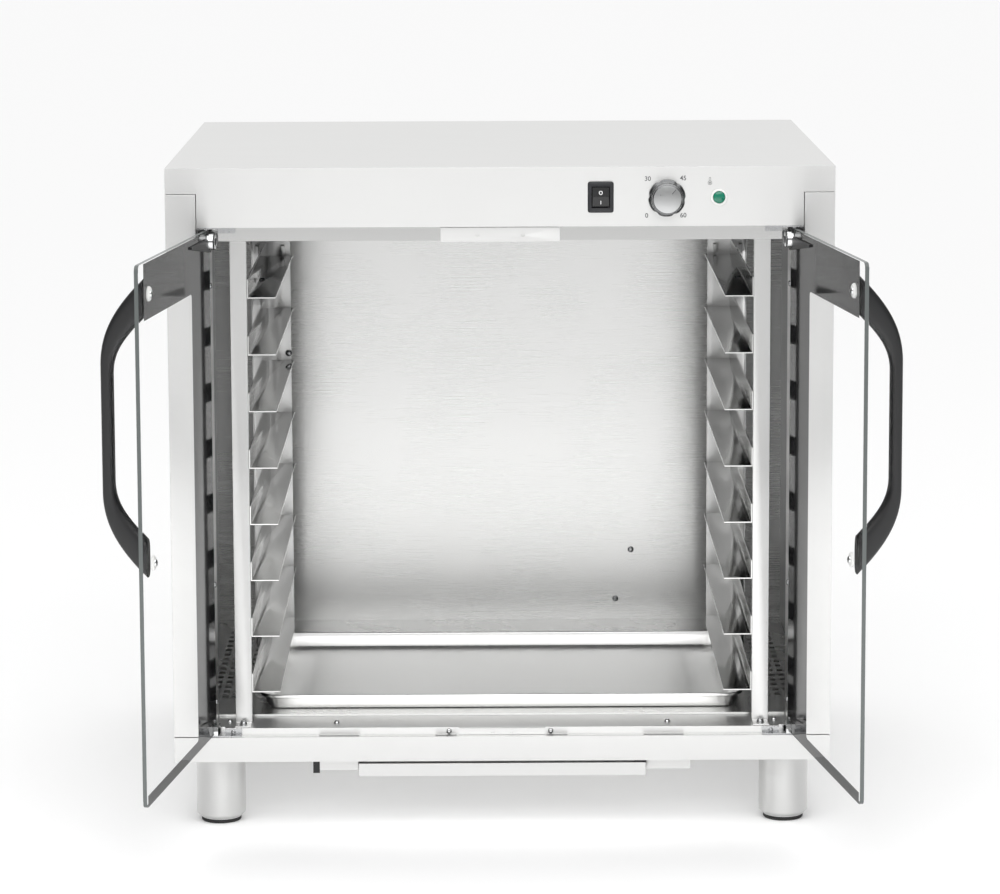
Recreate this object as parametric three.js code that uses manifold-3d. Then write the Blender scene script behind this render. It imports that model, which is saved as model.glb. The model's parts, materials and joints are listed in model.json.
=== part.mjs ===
// A proofing cabinet for baker's trays: a folded stainless body on four round feet, two frameless
// glass doors with bow handles, eight pairs of tray runners, a baking pan on the chamber floor, a
// drip tray under the base, and a switch, a dial and a lamp on the fascia.
// Millimetres, +Z up, the doors to the front (-Y). The doors stand open, as they do in use.
import * as THREE from "three";
import { mergeVertices } from "three/addons/utils/BufferGeometryUtils.js";
import Module from "manifold-3d";

const wasm = await Module();
wasm.setup();

// Sheet, clearances and cuts
const gauge = 1.5; // every folded steel sheet
const gap = 0.3; // between two pieces that meet
const seam = 0.8; // the joints that show round the posts
const overrun = 4; // how far a cut passes the face that it starts from
const roundSides = 32; // flat faces round a turned piece
const weld = 0.0003; // points nearer than this are one

// Body, measured from the underside of the base
const bodyWidth = 800;
const bodyDepth = 660;
const bodyHeight = 726;
const baseHeight = 30.5;
const postWidth = 36.5; // the face of each side post
const bandHeight = 31; // the part of the fascia that runs over the posts
const fasciaHeight = 71.5;
const fasciaReturn = 12.5; // the fold under the fascia
const flangeWidth = 18; // the folds round the top of the base

// Frame round the door opening
const stopDepth = 13; // the front of the sill and of the header rail
const stopInset = 25.5; // from the posts, where the sill and the header rail stand back to the jambs
const jambDepth = 20; // the front of the jambs, behind the swing of the clamps
const jambInset = 13.5; // how far a jamb stands inside its post
const frameDepth = 78;
const sillTop = 39;
const headerDrop = 17.5; // from the fascia to the lower edge of the header rail
const sillSkirt = 12; // the fold at the back of the sill

// Chamber
const chamberInset = 15; // from the side of the body to the inner wall
const chamberBack = 612;
const floorTop = 42;
const ceilingDrop = 9.5; // from the fascia to the ceiling
const floorHem = 6; // the part of the floor that lies on the sill
const wallLedge = 15; // the fold that carries the floor, and the one under the ceiling

// Warm-air slots in the floor, in a strip along each side
const slotColumns = 4;
const slotRows = 15;
const slotWidth = 7.5;
const slotLength = 12.6;
const slotColumnPitch = 13;
const slotRowPitch = 26.3;
const slotStripFront = 168.3; // the middle of the first row
const slotStripInset = 24; // from the inner wall to the middle of the outer column

// Drain slots in the floor of the door recess
const drainWidth = 6;
const drainPlaces = [
  [-198.5, 49],
  [-68.3, 26],
  [67, 26],
  [197, 49],
]; // middle and length

// Tray racks
const trayWidth = 600;
const trayPlay = 4.5; // between a tray's end and a runner's upstand
const runnerLedge = 34.5;
const runnerUpstand = 22;
const runnerCount = 8;
const runnerPitch = 69.5;
const lowestRunner = 79.5; // the top face of the lowest ledge
const uprightWidth = 20;
const uprightDepth = 11;
const uprightFront = 37;
const rackBack = 463;
const rearUprightTop = 600;
const hookRise = 12; // hook tabs over the top ledge
const hookWidth = 4;
const hookLift = 2;
const stopSetback = 3.5; // the rear plate's edge behind the inner edge of the ledges

// Baking pan on the floor
const panFront = 88;
const panDepth = 360;
const panHeight = 20;
const panFlare = 8;
const panRim = 3;
const panGauge = 1;
const panCorner = 24;
const cornerSteps = 5;

// Doors
const glassThickness = 5;
const glassSetback = 2; // behind the front of the body when shut
const doorPlay = 2.5; // to the posts, and half the play between the doors
const doorEndPlay = 3.5; // over and under the glass
const hingeInset = 9; // from the glass edge to the pivot axis
const freeCorner = 8;
const openAngle = THREE.MathUtils.degToRad(98.6);

// Hinge clamps and pivots
const notchWidth = 18;
const topNotch = 9; // how far each notch runs up or down the glass
const bottomNotch = 6;
const clampStart = 2.2; // from the edge of the glass to the clamps
const clampFace = 8; // from the middle of the glass to the outside of the clamps
const topClampEnd = 75; // from the edge of the glass
const topClampGrip = 14; // past the notch
const topClampBack = 5; // from the middle of the glass to the inside of the clamp
const innerPlateEnd = 105; // the tip of the upper clamp's plate on the inside
const innerPlateRoot = 18; // how far it runs down from the notch, at the hinge and at its tip
const innerPlateTip = 3;
const bottomClampEnd = 21;
const bottomClampGrip = 6;
const bottomClampBack = 8;
const armStart = 22; // from the edge of the glass to the swell of the upper clamp
const armSwell = 8; // the length of its slope
const armFace = 11; // from the middle of the glass to its outside
const bossInset = 11; // from the edge of the glass to the boss on the inside
const bossRadius = 10;
const bossFace = 12;
const pinRadius = 3.2;
const pinReach = 4.5; // how far a pin stands in its clamp
const pivotLength = 46;
const pivotFlange = 7.5;

// Door handles
const handleReach = 49.5; // from the glass to the outside of the grip
const handleGrip = 13;
const handleHalfLength = 170;
const handleFoot = 44;
const handleStraight = 72; // half the straight part of the outside
const handleWidth = 20;
const handleBevel = 3;
const handleInset = 43.5; // from the free edge of the glass
const handleHeight = 461.3;
// Each bend: the place of its first control, then the reach and the place of its second
const outerBendShares = [0.44, 0.55, 0.71];
const innerBendShares = [0.39, 0.67, 0.61];
const gripTaperShare = 0.83; // the inner straight to the outer one
const bendSteps = 7;

// Catches in the middle of the frame
const catchThickness = 4.2;
const topCatchWidth = 143;
const topCatchHeight = 17;
const topCatchHoles = 54.5;
const bottomCatchWidth = 105;
const bottomCatchHeight = 8;
const bottomCatchHoles = 22.5;
const catchHoleRadius = 2.4;

// Controls
const switchX = 120;
const switchDrop = 36.3; // the middle of the switch under the top of the body
const bezelWidth = 31;
const bezelHeight = 37.4;
const bezelThickness = 2.2;
const switchHoleWidth = 27;
const switchHoleHeight = 31;
const switchBodyDepth = 24;
const rockerWidth = 20.4;
const rockerRadius = 12;
const rockerFront = 4; // from the rocker's axis to its front corners
const rockerDip = 1.6;
const rockerBack = 6;
const rockerTilt = THREE.MathUtils.degToRad(6);
const dialX = 199;
const dialDrop = 37.7;
const knobRadius = 22.5;
const knobFlange = 3;
const knobGripRadius = 19.5;
const knobFaceRadius = 17.4;
const knobHeight = 18;
const knobPlay = 0.6; // between the knob and the fascia
const knobWall = 3;
const shaftRadius = 3;
const shaftHoleRadius = 5;
const thermostatSize = 44;
const thermostatDepth = 34;
const lampX = 261.3;
const lampDrop = 37;
const lampRadius = 7.4;
const lampBezelRadius = 10.4;
const lampBezelHeight = 1.6;
const lampDome = 3;
const lampBody = 22;

// Feet
const footHeight = 84;
const footRadius = 30.1;
const footSideInset = 53.6; // from the side of the body
const footInset = 50; // from the front and the back
const footBevel = 5;
const footBevelTop = 75; // under the base
const footRingRadius = 24.6;
const padHeight = 5;
const padRadius = 22;

// Drip tray and its rail
const dripPlateWidth = 350;
const dripPlateFront = 3.5;
const dripPlateTop = 3.7; // the dark gap between the base and the plate
const dripDepthUnder = 19.6; // from the base to the bottom of the tray
const dripTroughHalf = 166;
const dripTroughBack = 66;
const dripRimDrop = 12; // from the base to the tray's rim
const dripRimWidth = 9.5;
const dripGauge = 1.2;
const railHalfWidth = 230;
const railFront = 18;
const railBack = 72;
const railDrop = 15.3;
const railLip = 10;

// Cable gland and heating element
const glandX = 310;
const glandZ = 72;
const glandRadius = 11;
const glandLength = 20;
const glandNut = 8;
const glandBore = 4.5;
const heaterRadius = 4;
const heaterHalfSpan = 130;
const heaterFront = 180;
const heaterBack = 570;
const heaterHeight = 18;
const heaterClip = 12;

// Places that follow from the sizes
const halfWidth = bodyWidth / 2;
const openingHalf = halfWidth - postWidth;
const openingTop = bodyHeight - fasciaHeight;
const bandBottom = bodyHeight - bandHeight;
const jambHalf = openingHalf - jambInset;
const stopHalf = openingHalf - stopInset;
const headerBottom = openingTop - headerDrop;
const chamberHalfWidth = halfWidth - chamberInset;
const ceilingBottom = openingTop - ceilingDrop;
const slotStripOuter = chamberHalfWidth - slotStripInset;
const switchZ = bodyHeight - switchDrop;
const dialZ = bodyHeight - dialDrop;
const lampZ = bodyHeight - lampDrop;
const footX = halfWidth - footSideInset;
const uprightInner = trayWidth / 2 + trayPlay + gauge + gap;
const uprightOuter = uprightInner + uprightWidth;
const runnerOuter = uprightInner - gap;
const runnerInner = runnerOuter - runnerLedge;
const topRunner = lowestRunner + (runnerCount - 1) * runnerPitch;
const glassBottom = baseHeight + doorEndPlay;
const glassTop = openingTop - doorEndPlay;
const glassWidth = openingHalf - 2 * doorPlay;
const pivotX = openingHalf - doorPlay - hingeInset;
const pivotY = glassSetback + glassThickness / 2;

// Finishes
const finishes = {
  brushed: { color: 0xe9e9e8, roughness: 0.32, metalness: 0.9 },
  inside: { color: 0xcfcfcf, roughness: 0.28, metalness: 0.95 },
  polished: { color: 0xd9dadb, roughness: 0.12, metalness: 1 },
  glass: { color: 0xdfe6e4, roughness: 0.03, metalness: 0, transparent: true, opacity: 0.3 },
  black: { color: 0x1d1d1e, roughness: 0.45, metalness: 0 },
  knob: { color: 0x8f9192, roughness: 0.2, metalness: 1 },
  lamp: { color: 0x1f9d7c, roughness: 0.2, metalness: 0 },
  element: { color: 0x5b5d5c, roughness: 0.5, metalness: 0.8 },
};

const root = new THREE.Group();
const cabinet = new THREE.Group();
root.add(cabinet);

// A closed geometry as a solid that can be cut and joined.
function solid(geometry) {
  geometry.deleteAttribute("normal");
  geometry.deleteAttribute("uv");
  const merged = mergeVertices(geometry, weld);
  return new wasm.Manifold(
    new wasm.Mesh({
      numProp: 3,
      vertProperties: new Float32Array(merged.attributes.position.array),
      triVerts: new Uint32Array(merged.index.array),
    }),
  );
}

// A solid as a named mesh in a group.
function place(name, shape, finish, parent = cabinet) {
  const data = shape.getMesh();
  const geometry = new THREE.BufferGeometry();
  const points = new THREE.BufferAttribute(new Float32Array(data.vertProperties), 3);
  geometry.setAttribute("position", points);
  geometry.setIndex(new THREE.BufferAttribute(new Uint32Array(data.triVerts), 1));
  geometry.computeVertexNormals();
  const mesh = new THREE.Mesh(geometry, new THREE.MeshStandardMaterial(finishes[finish]));
  mesh.name = name;
  parent.add(mesh);
}

const join = (...shapes) => shapes.reduce((whole, shape) => whole.add(shape));
const cut = (shape, ...tools) => tools.reduce((rest, tool) => rest.subtract(tool), shape);

// A block between two corners, given in any order.
function block([xa, ya, za], [xb, yb, zb]) {
  const box = new THREE.BoxGeometry(Math.abs(xb - xa), Math.abs(yb - ya), Math.abs(zb - za));
  return solid(box.translate((xa + xb) / 2, (ya + yb) / 2, (za + zb) / 2));
}

// Turns an extrusion so that its outline lies across the axis: (y, z) for x, (z, x) for y, (x, y) for z.
function acrossAxis(geometry, axis) {
  const [x, y, z] = [[1, 0, 0], [0, 1, 0], [0, 0, 1]].map((unit) => new THREE.Vector3(...unit));
  const bases = { x: [y, z, x], y: [z, x, y], z: [x, y, z] };
  return geometry.applyMatrix4(new THREE.Matrix4().makeBasis(...bases[axis]));
}

// An outline carried along an axis between two places.
function prism(axis, outline, from, to) {
  const shape = new THREE.Shape(outline.map(([u, v]) => new THREE.Vector2(u, v)));
  const geometry = new THREE.ExtrudeGeometry(shape, { depth: to - from, bevelEnabled: false });
  return solid(acrossAxis(geometry.translate(0, 0, from), axis));
}

// A round bar along an axis, with its middle at (u, v) across that axis.
function bar(axis, [u, v], radius, from, to, sides = roundSides) {
  const outline = Array.from({ length: sides }, (_, i) => {
    const angle = (2 * Math.PI * i) / sides;
    return [u + radius * Math.cos(angle), v + radius * Math.sin(angle)];
  });
  return prism(axis, outline, from, to);
}

// The outline of a sheet that is folded along a path. Its thickness is on the right of the path for
// side 1 and on the left for side -1.
function foldedOutline(path, side) {
  const directions = path.slice(1).map(([u, v], i) => {
    const [du, dv] = [u - path[i][0], v - path[i][1]];
    const length = Math.hypot(du, dv);
    return [du / length, dv / length];
  });
  const offset = path.map(([u, v], i) => {
    const before = directions[Math.max(i - 1, 0)];
    const after = directions[Math.min(i, directions.length - 1)];
    const normals = [before, after].map(([du, dv]) => [side * dv, -side * du]);
    const share = gauge / (1 + normals[0][0] * normals[1][0] + normals[0][1] * normals[1][1]);
    return [u + share * (normals[0][0] + normals[1][0]), v + share * (normals[0][1] + normals[1][1])];
  });
  return [...path, ...offset.reverse()];
}

// A solid of revolution about +Z, from (radius, height) points that start and end on the axis or close.
function turned(profile, sides = roundSides) {
  const points = profile.map(([radius, height]) => new THREE.Vector2(radius, height));
  return new THREE.LatheGeometry(points, sides).rotateX(Math.PI / 2);
}

// The same, about an axis that points to the front, with its origin at (x, y, z).
function turnedToFront(profile, x, y, z) {
  return solid(turned(profile).rotateX(Math.PI / 2).translate(x, y, z));
}

// Top cover: a lid that is open below, with the fascia under its front and the fold under the fascia.
function topCover() {
  const lid = cut(
    block([-halfWidth, 0, bandBottom], [halfWidth, bodyDepth, bodyHeight]),
    block(
      [gauge - halfWidth, gauge, bandBottom - overrun],
      [halfWidth - gauge, bodyDepth - gauge, bodyHeight - gauge],
    ),
  );
  const half = openingHalf - seam;
  const fascia = block([-half, 0, openingTop], [half, gauge, bandBottom + gauge]);
  const fold = block([-half, 0, openingTop], [half, fasciaReturn, openingTop + gauge]);
  const switchHole = block(
    [switchX - switchHoleWidth / 2, -overrun, switchZ - switchHoleHeight / 2],
    [switchX + switchHoleWidth / 2, gauge + overrun, switchZ + switchHoleHeight / 2],
  );
  const shaftHole = bar("y", [dialZ, dialX], shaftHoleRadius, -overrun, gauge + overrun);
  const lampHole = bar("y", [lampZ, lampX], lampRadius + gap, -overrun, gauge + overrun);
  place("top_cover", cut(join(lid, fascia, fold), switchHole, shaftHole, lampHole), "brushed");
}

// Side panels: each sheet folds round the post and the jamb, and ends at the inner wall.
function sidePanels() {
  for (const [name, side] of [["left", -1], ["right", 1]]) {
    const path = [
      [halfWidth, bodyDepth - gauge - gap],
      [halfWidth, 0],
      [openingHalf, 0],
      [openingHalf, jambDepth],
      [jambHalf, jambDepth],
      [jambHalf, frameDepth],
      [chamberHalfWidth, frameDepth],
    ].map(([x, y]) => [side * x, y]);
    const panel = prism("z", foldedOutline(path, side), baseHeight + seam, bandBottom - seam);
    place(`${name}_side_panel`, panel, "brushed");
  }
}

// Rear panel, with the hole of the cable gland.
function rearPanel() {
  const panel = block(
    [-halfWidth, bodyDepth - gauge, baseHeight + seam],
    [halfWidth, bodyDepth, bandBottom - seam],
  );
  const holeFront = bodyDepth - gauge - overrun;
  const hole = bar("y", [glandZ, glandX], glandRadius - gauge, holeFront, bodyDepth + overrun);
  place("rear_panel", cut(panel, hole), "brushed");
}

// Base tray: a folded pan whose front top fold is the floor of the door recess, with the drain slots.
function baseTray() {
  const flangeBottom = baseHeight - gauge;
  const sides = [-1, 1].flatMap((side) => [
    block([side * halfWidth, 0, 0], [side * (halfWidth - gauge), bodyDepth, baseHeight]),
    block([side * halfWidth, 0, flangeBottom], [side * (halfWidth - flangeWidth), bodyDepth, baseHeight]),
    block([side * halfWidth, 0, flangeBottom], [side * (stopHalf + gap), jambDepth - gap, baseHeight]),
  ]);
  const tray = join(
    block([-halfWidth, 0, 0], [halfWidth, bodyDepth, gauge]),
    block([-halfWidth, 0, 0], [halfWidth, gauge, baseHeight]),
    block([-halfWidth, bodyDepth - gauge, 0], [halfWidth, bodyDepth, baseHeight]),
    block([-halfWidth, 0, flangeBottom], [halfWidth, stopDepth - gap, baseHeight]),
    ...sides,
  );
  const recessMiddle = (stopDepth + gauge) / 2;
  const drains = drainPlaces.map(([x, length]) =>
    block(
      [x - length / 2, recessMiddle - drainWidth / 2, flangeBottom - overrun],
      [x + length / 2, recessMiddle + drainWidth / 2, baseHeight + overrun],
    ),
  );
  place("base_tray", cut(tray, ...drains), "brushed");
}

// A folded sheet across the opening, whose front stands back at both ends, clear of the swing of the glass.
function stopSheet(pathFrom, side) {
  const middle = prism("x", foldedOutline(pathFrom(stopDepth), side), -stopHalf, stopHalf);
  const whole = prism("x", foldedOutline(pathFrom(jambDepth), side), gap - jambHalf, jambHalf - gap);
  return join(middle, whole);
}

// Door sill: the lower stop of the doors, folded back to carry the floor and the rack feet.
function doorSill() {
  const path = (front) => [
    [front, baseHeight - gauge],
    [front, sillTop],
    [frameDepth, sillTop],
    [frameDepth, sillTop - sillSkirt],
  ];
  place("door_sill", stopSheet(path, 1), "brushed");
}

// Chamber ceiling, whose front folds down to the header rail over the doors.
function chamberCeiling() {
  const path = (front) => [
    [front, openingTop + gauge],
    [front, headerBottom],
    [frameDepth, headerBottom],
    [frameDepth, ceilingBottom],
    [frameDepth + flangeWidth, ceilingBottom],
  ];
  const header = stopSheet(path, -1);
  const roof = block(
    [-chamberHalfWidth - gauge, frameDepth + gap, ceilingBottom],
    [chamberHalfWidth + gauge, chamberBack + gauge, ceilingBottom + gauge],
  );
  place("chamber_ceiling", join(header, roof), "inside");
}

// Chamber walls: two sides with folds for the floor and the ceiling, and the back.
function chamberWalls() {
  for (const [name, side] of [["left", -1], ["right", 1]]) {
    const outer = chamberHalfWidth + gauge;
    const inner = chamberHalfWidth - wallLedge;
    const [front, back] = [frameDepth + gap, chamberBack - gap];
    const floorLedge = floorTop - gauge - gap;
    const wall = join(
      block([side * chamberHalfWidth, front, baseHeight + gap], [side * outer, back, ceilingBottom - gap]),
      block([side * inner, front, floorLedge - gauge], [side * outer, back, floorLedge]),
      block([side * inner, front, ceilingBottom - gap - gauge], [side * outer, back, ceilingBottom - gap]),
    );
    place(`${name}_inner_wall`, wall, "inside");
  }
  const back = block(
    [-chamberHalfWidth - gauge, chamberBack, baseHeight + gap],
    [chamberHalfWidth + gauge, chamberBack + gauge, ceilingBottom - gap],
  );
  place("inner_back_wall", back, "inside");
}

// Chamber floor with its hem on the sill and the warm-air slots along both sides.
function floorPlate() {
  const plate = join(
    block(
      [gap - chamberHalfWidth, frameDepth + gap, floorTop - gauge],
      [chamberHalfWidth - gap, chamberBack - gap, floorTop],
    ),
    block(
      [2 * gap - jambHalf, frameDepth - floorHem, sillTop + gap],
      [jambHalf - 2 * gap, frameDepth + floorHem, floorTop],
    ),
  );
  const slots = [-1, 1].flatMap((side) =>
    Array.from({ length: slotColumns * slotRows }, (_, i) => {
      const x = side * (slotStripOuter - slotColumnPitch * (i % slotColumns));
      const y = slotStripFront + slotRowPitch * Math.floor(i / slotColumns);
      return block(
        [x - slotWidth / 2, y - slotLength / 2, floorTop - gauge - overrun],
        [x + slotWidth / 2, y + slotLength / 2, floorTop + overrun],
      );
    }),
  );
  place("floor_plate", cut(plate, ...slots), "inside");
}

// Front upright of a rack: a channel on a foot tab that is bolted to the sill.
function frontUpright(name, side) {
  const foot = sillTop + gap;
  const path = [
    [uprightOuter, uprightFront + uprightDepth],
    [uprightOuter, uprightFront],
    [uprightInner, uprightFront],
    [uprightInner, uprightFront + uprightDepth],
  ].map(([x, y]) => [side * x, y]);
  const channel = prism("z", foldedOutline(path, side), foot, headerBottom - gap);
  const tab = block(
    [side * uprightInner, stopDepth + gauge, foot],
    [side * uprightOuter, uprightFront + gauge, foot + gauge],
  );
  place(`${name}_front_upright`, join(channel, tab), "brushed");
}

// Rear upright of a rack: a plate that stops the trays, two folds, and two hook tabs over the top ledge.
function rearUpright(name, side) {
  const foot = floorTop + gap;
  const forward = rackBack - uprightDepth;
  const fold = (x) => block([side * x, forward, foot], [side * (x + gauge), rackBack, rearUprightTop]);
  const plateInner = runnerInner + stopSetback;
  const hookBottom = topRunner + hookLift;
  const hook = (x) =>
    block([side * x, forward, hookBottom], [side * (x + hookWidth), rackBack, hookBottom + hookRise]);
  const upright = join(
    block([side * plateInner, rackBack, foot], [side * uprightOuter, rackBack + gauge, rearUprightTop]),
    fold(uprightInner),
    fold(uprightOuter - gauge),
    hook(runnerInner + uprightDepth),
    hook(uprightInner + uprightWidth / 2),
  );
  place(`${name}_rear_upright`, upright, "inside");
}

// Runners: angles with a ledge for the tray and an upstand on the uprights, numbered from the top.
function runners(name, side) {
  for (let i = 0; i < runnerCount; i += 1) {
    const ledge = topRunner - i * runnerPitch;
    const path = [
      [ledge + runnerUpstand, side * runnerOuter],
      [ledge - gauge, side * runnerOuter],
      [ledge - gauge, side * runnerInner],
    ];
    const runner = prism("y", foldedOutline(path, -side), uprightFront, rackBack - gap);
    place(`${name}_runner_${i + 1}`, runner, "inside");
  }
}

function racks() {
  for (const [name, side] of [["left", -1], ["right", 1]]) {
    frontUpright(name, side);
    rearUpright(name, side);
    runners(name, side);
  }
}

// A ring of points on a rectangle with rounded corners.
function roundedRing(halfX, halfY, radius, height) {
  const corners = [[1, 1], [-1, 1], [-1, -1], [1, -1]];
  return corners.flatMap(([sx, sy], quarter) =>
    Array.from({ length: cornerSteps + 1 }, (_, i) => {
      const angle = (Math.PI / 2) * (quarter + i / cornerSteps);
      return [
        sx * (halfX - radius) + radius * Math.cos(angle),
        sy * (halfY - radius) + radius * Math.sin(angle),
        height,
      ];
    }),
  );
}

// A shell through stacked rings, closed in the middle of the first and the last one.
function ringShell(rings) {
  const count = rings[0].length;
  const points = [...rings.flat(), [0, 0, rings[0][0][2]], [0, 0, rings.at(-1)[0][2]]];
  const faces = [];
  const [firstMiddle, lastMiddle] = [points.length - 2, points.length - 1];
  for (let i = 0; i < count; i += 1) {
    const next = (i + 1) % count;
    faces.push(next, i, firstMiddle);
    for (let ring = 0; ring < rings.length - 1; ring += 1) {
      const [low, high] = [ring * count, (ring + 1) * count];
      faces.push(low + i, low + next, high + next, low + i, high + next, high + i);
    }
    const top = (rings.length - 1) * count;
    faces.push(top + i, top + next, lastMiddle);
  }
  const geometry = new THREE.BufferGeometry();
  geometry.setAttribute("position", new THREE.BufferAttribute(new Float32Array(points.flat()), 3));
  geometry.setIndex(faces);
  return geometry;
}

// Baking pan: a flared tray of one gauge with a square bead round its rim.
function floorPan() {
  const profile = [
    [panFlare + panRim, 0],
    [panRim, panHeight - panRim],
    [0, panHeight - panRim],
    [0, panHeight],
    [panRim + panGauge, panHeight],
    [panFlare + panRim + panGauge, panGauge],
  ]; // inset from the rim, and height
  const rings = profile.map(([inset, height]) =>
    roundedRing(trayWidth / 2 - inset, panDepth / 2 - inset, panCorner - inset, height),
  );
  const pan = ringShell(rings).translate(0, panFront + panDepth / 2, floorTop + gap);
  place("floor_pan", solid(pan), "polished");
}

// One glass, notched at its hinge corners and rounded at its free ones. Across is 1 to the right.
function doorGlass(name, across, door) {
  const edge = (distance) => across * (distance - hingeInset);
  const outline = new THREE.Shape();
  outline.moveTo(edge(notchWidth), glassBottom);
  outline.lineTo(edge(glassWidth - freeCorner), glassBottom);
  outline.quadraticCurveTo(edge(glassWidth), glassBottom, edge(glassWidth), glassBottom + freeCorner);
  outline.lineTo(edge(glassWidth), glassTop - freeCorner);
  outline.quadraticCurveTo(edge(glassWidth), glassTop, edge(glassWidth - freeCorner), glassTop);
  outline.lineTo(edge(notchWidth), glassTop);
  outline.lineTo(edge(notchWidth), glassTop - topNotch);
  outline.lineTo(edge(0), glassTop - topNotch);
  outline.lineTo(edge(0), glassBottom + bottomNotch);
  outline.lineTo(edge(notchWidth), glassBottom + bottomNotch);
  const options = { depth: glassThickness, bevelEnabled: false, curveSegments: cornerSteps };
  const pane = new THREE.ExtrudeGeometry(outline, options);
  pane.rotateX(Math.PI / 2).translate(0, glassThickness / 2, 0);
  place(`${name}_door_glass`, solid(pane), "glass", door);
}

// Bow handle: an arch whose two feet stand on the glass, drawn in (y, z) and carried across the door.
function doorHandle(name, across, door) {
  const seat = -glassThickness / 2 - gap;
  const reach = seat - handleReach;
  const inner = reach + handleGrip;
  const innerStraight = handleStraight * gripTaperShare;
  const innerEnd = handleHalfLength - handleFoot;
  const outline = new THREE.Shape();
  const bend = (face, [start, end], [first, out, along], toSeat) => {
    const nearFace = [face, start + first * (end - start)];
    const nearSeat = [seat + out * (face - seat), start + along * (end - start)];
    if (toSeat) outline.bezierCurveTo(...nearFace, ...nearSeat, seat, end);
    else outline.bezierCurveTo(...nearSeat, ...nearFace, face, start);
  };
  outline.moveTo(seat, handleHalfLength);
  bend(reach, [handleStraight, handleHalfLength], outerBendShares, false);
  outline.lineTo(reach, -handleStraight);
  bend(reach, [-handleStraight, -handleHalfLength], outerBendShares, true);
  outline.lineTo(seat, -innerEnd);
  bend(inner, [-innerStraight, -innerEnd], innerBendShares, false);
  outline.lineTo(inner, innerStraight);
  bend(inner, [innerStraight, innerEnd], innerBendShares, true);
  const bow = new THREE.ExtrudeGeometry(outline, {
    depth: handleWidth - 2 * handleBevel,
    curveSegments: bendSteps,
    bevelSize: handleBevel,
    bevelOffset: -handleBevel,
    bevelThickness: handleBevel,
    bevelSegments: 1,
  });
  const middle = across * (glassWidth - hingeInset - handleInset);
  acrossAxis(bow.translate(0, 0, handleBevel - handleWidth / 2), "x").translate(middle, 0, handleHeight);
  place(`${name}_door_handle`, solid(bow), "black", door);
}

// What only an upper clamp has: an arm on the outside of the glass, which swells where it is clear of
// the post, and a tapered plate and a round boss on the inside.
function armPlateAndBoss(across, tip, notchEnd) {
  const place = (distance) => across * (distance - hingeInset);
  const skin = glassThickness / 2 + gap;
  const arm = prism(
    "z",
    [
      [place(armStart), -skin],
      [place(armStart), -clampFace],
      [place(armStart + armSwell), -armFace],
      [place(topClampEnd), -armFace],
      [place(topClampEnd), -skin],
    ],
    tip,
    notchEnd,
  );
  const plate = prism(
    "y",
    [
      [notchEnd, place(clampStart)],
      [notchEnd, place(innerPlateEnd)],
      [notchEnd - innerPlateTip, place(innerPlateEnd)],
      [notchEnd - innerPlateRoot, place(clampStart)],
    ],
    skin,
    topClampBack,
  );
  const boss = bar("y", [tip + bossRadius, place(bossInset)], bossRadius, skin, bossFace);
  return [arm, plate, boss];
}

// Hinge clamp: two cheeks on the glass, joined through its corner notch round the pivot pin. Upward is
// 1 for the clamp at the top.
function hingeClamp(name, across, upward, form, door) {
  const end = upward > 0 ? glassTop : glassBottom;
  const notchEnd = end - upward * form.notch;
  const tip = notchEnd - upward * form.grip;
  const edge = (distance) => across * (distance - hingeInset);
  const faces = [[-1, clampFace, form.end], [1, form.back, form.innerEnd]];
  const skin = glassThickness / 2 + gap;
  const cheeks = faces.flatMap(([sign, face, far]) => [
    block([edge(clampStart), sign * skin, tip], [edge(far), sign * face, notchEnd]),
    block([edge(clampStart), sign * skin, tip], [edge(notchWidth - gap), sign * face, end]),
  ]);
  const bridge = block(
    [edge(clampStart), -clampFace, notchEnd + upward * gap],
    [edge(notchWidth - gap), form.back, end],
  );
  const boreEnds = [end - upward * (pinReach + gap), end + upward * overrun];
  const bore = bar("z", [0, 0], pinRadius + gap, Math.min(...boreEnds), Math.max(...boreEnds));
  const extras = upward > 0 ? armPlateAndBoss(across, tip, notchEnd) : [];
  place(name, cut(join(bridge, ...cheeks, ...extras), bore), form.finish, door);
}

// Pivot of a door: a plate in the corner of the recess with a flange on the stop and a pin in the clamp.
function doorPivot(name, side, upward) {
  const seat = upward > 0 ? openingTop - gap : baseHeight + gap;
  const plateFace = seat - upward * gauge;
  const pinEnd = (upward > 0 ? glassTop : glassBottom) - upward * pinReach;
  const outer = openingHalf - gap;
  const inner = outer - pivotLength;
  const back = stopDepth - gap;
  const plate = block([side * outer, gauge, seat], [side * inner, back, plateFace]);
  const corner = block([side * outer, gauge, seat], [side * (stopHalf + gap), jambDepth - gap, plateFace]);
  const flange = block(
    [side * stopHalf, back - gauge, seat],
    [side * inner, back, seat - upward * pivotFlange],
  );
  const pin = bar("z", [side * pivotX, pivotY], pinRadius, Math.min(seat, pinEnd), Math.max(seat, pinEnd));
  place(name, join(plate, corner, flange, pin), "polished");
}

// Both doors, hung on their pivots and swung open.
function doors() {
  const topForm = {
    notch: topNotch,
    grip: topClampGrip,
    end: topClampEnd,
    innerEnd: notchWidth - gap,
    back: topClampBack,
    finish: "black",
  };
  const bottomForm = {
    notch: bottomNotch,
    grip: bottomClampGrip,
    end: bottomClampEnd,
    innerEnd: bottomClampEnd,
    back: bottomClampBack,
    finish: "polished",
  };
  for (const [name, side] of [["left", -1], ["right", 1]]) {
    const door = new THREE.Group();
    door.position.set(side * pivotX, pivotY, 0);
    door.rotation.z = side * openAngle;
    cabinet.add(door);
    doorGlass(name, -side, door);
    doorHandle(name, -side, door);
    for (const [end, upward, form] of [["top", 1, topForm], ["bottom", -1, bottomForm]]) {
      hingeClamp(`${name}_${end}_clamp`, -side, upward, form, door);
      doorPivot(`${name}_${end}_pivot`, side, upward);
    }
  }
}

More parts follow.
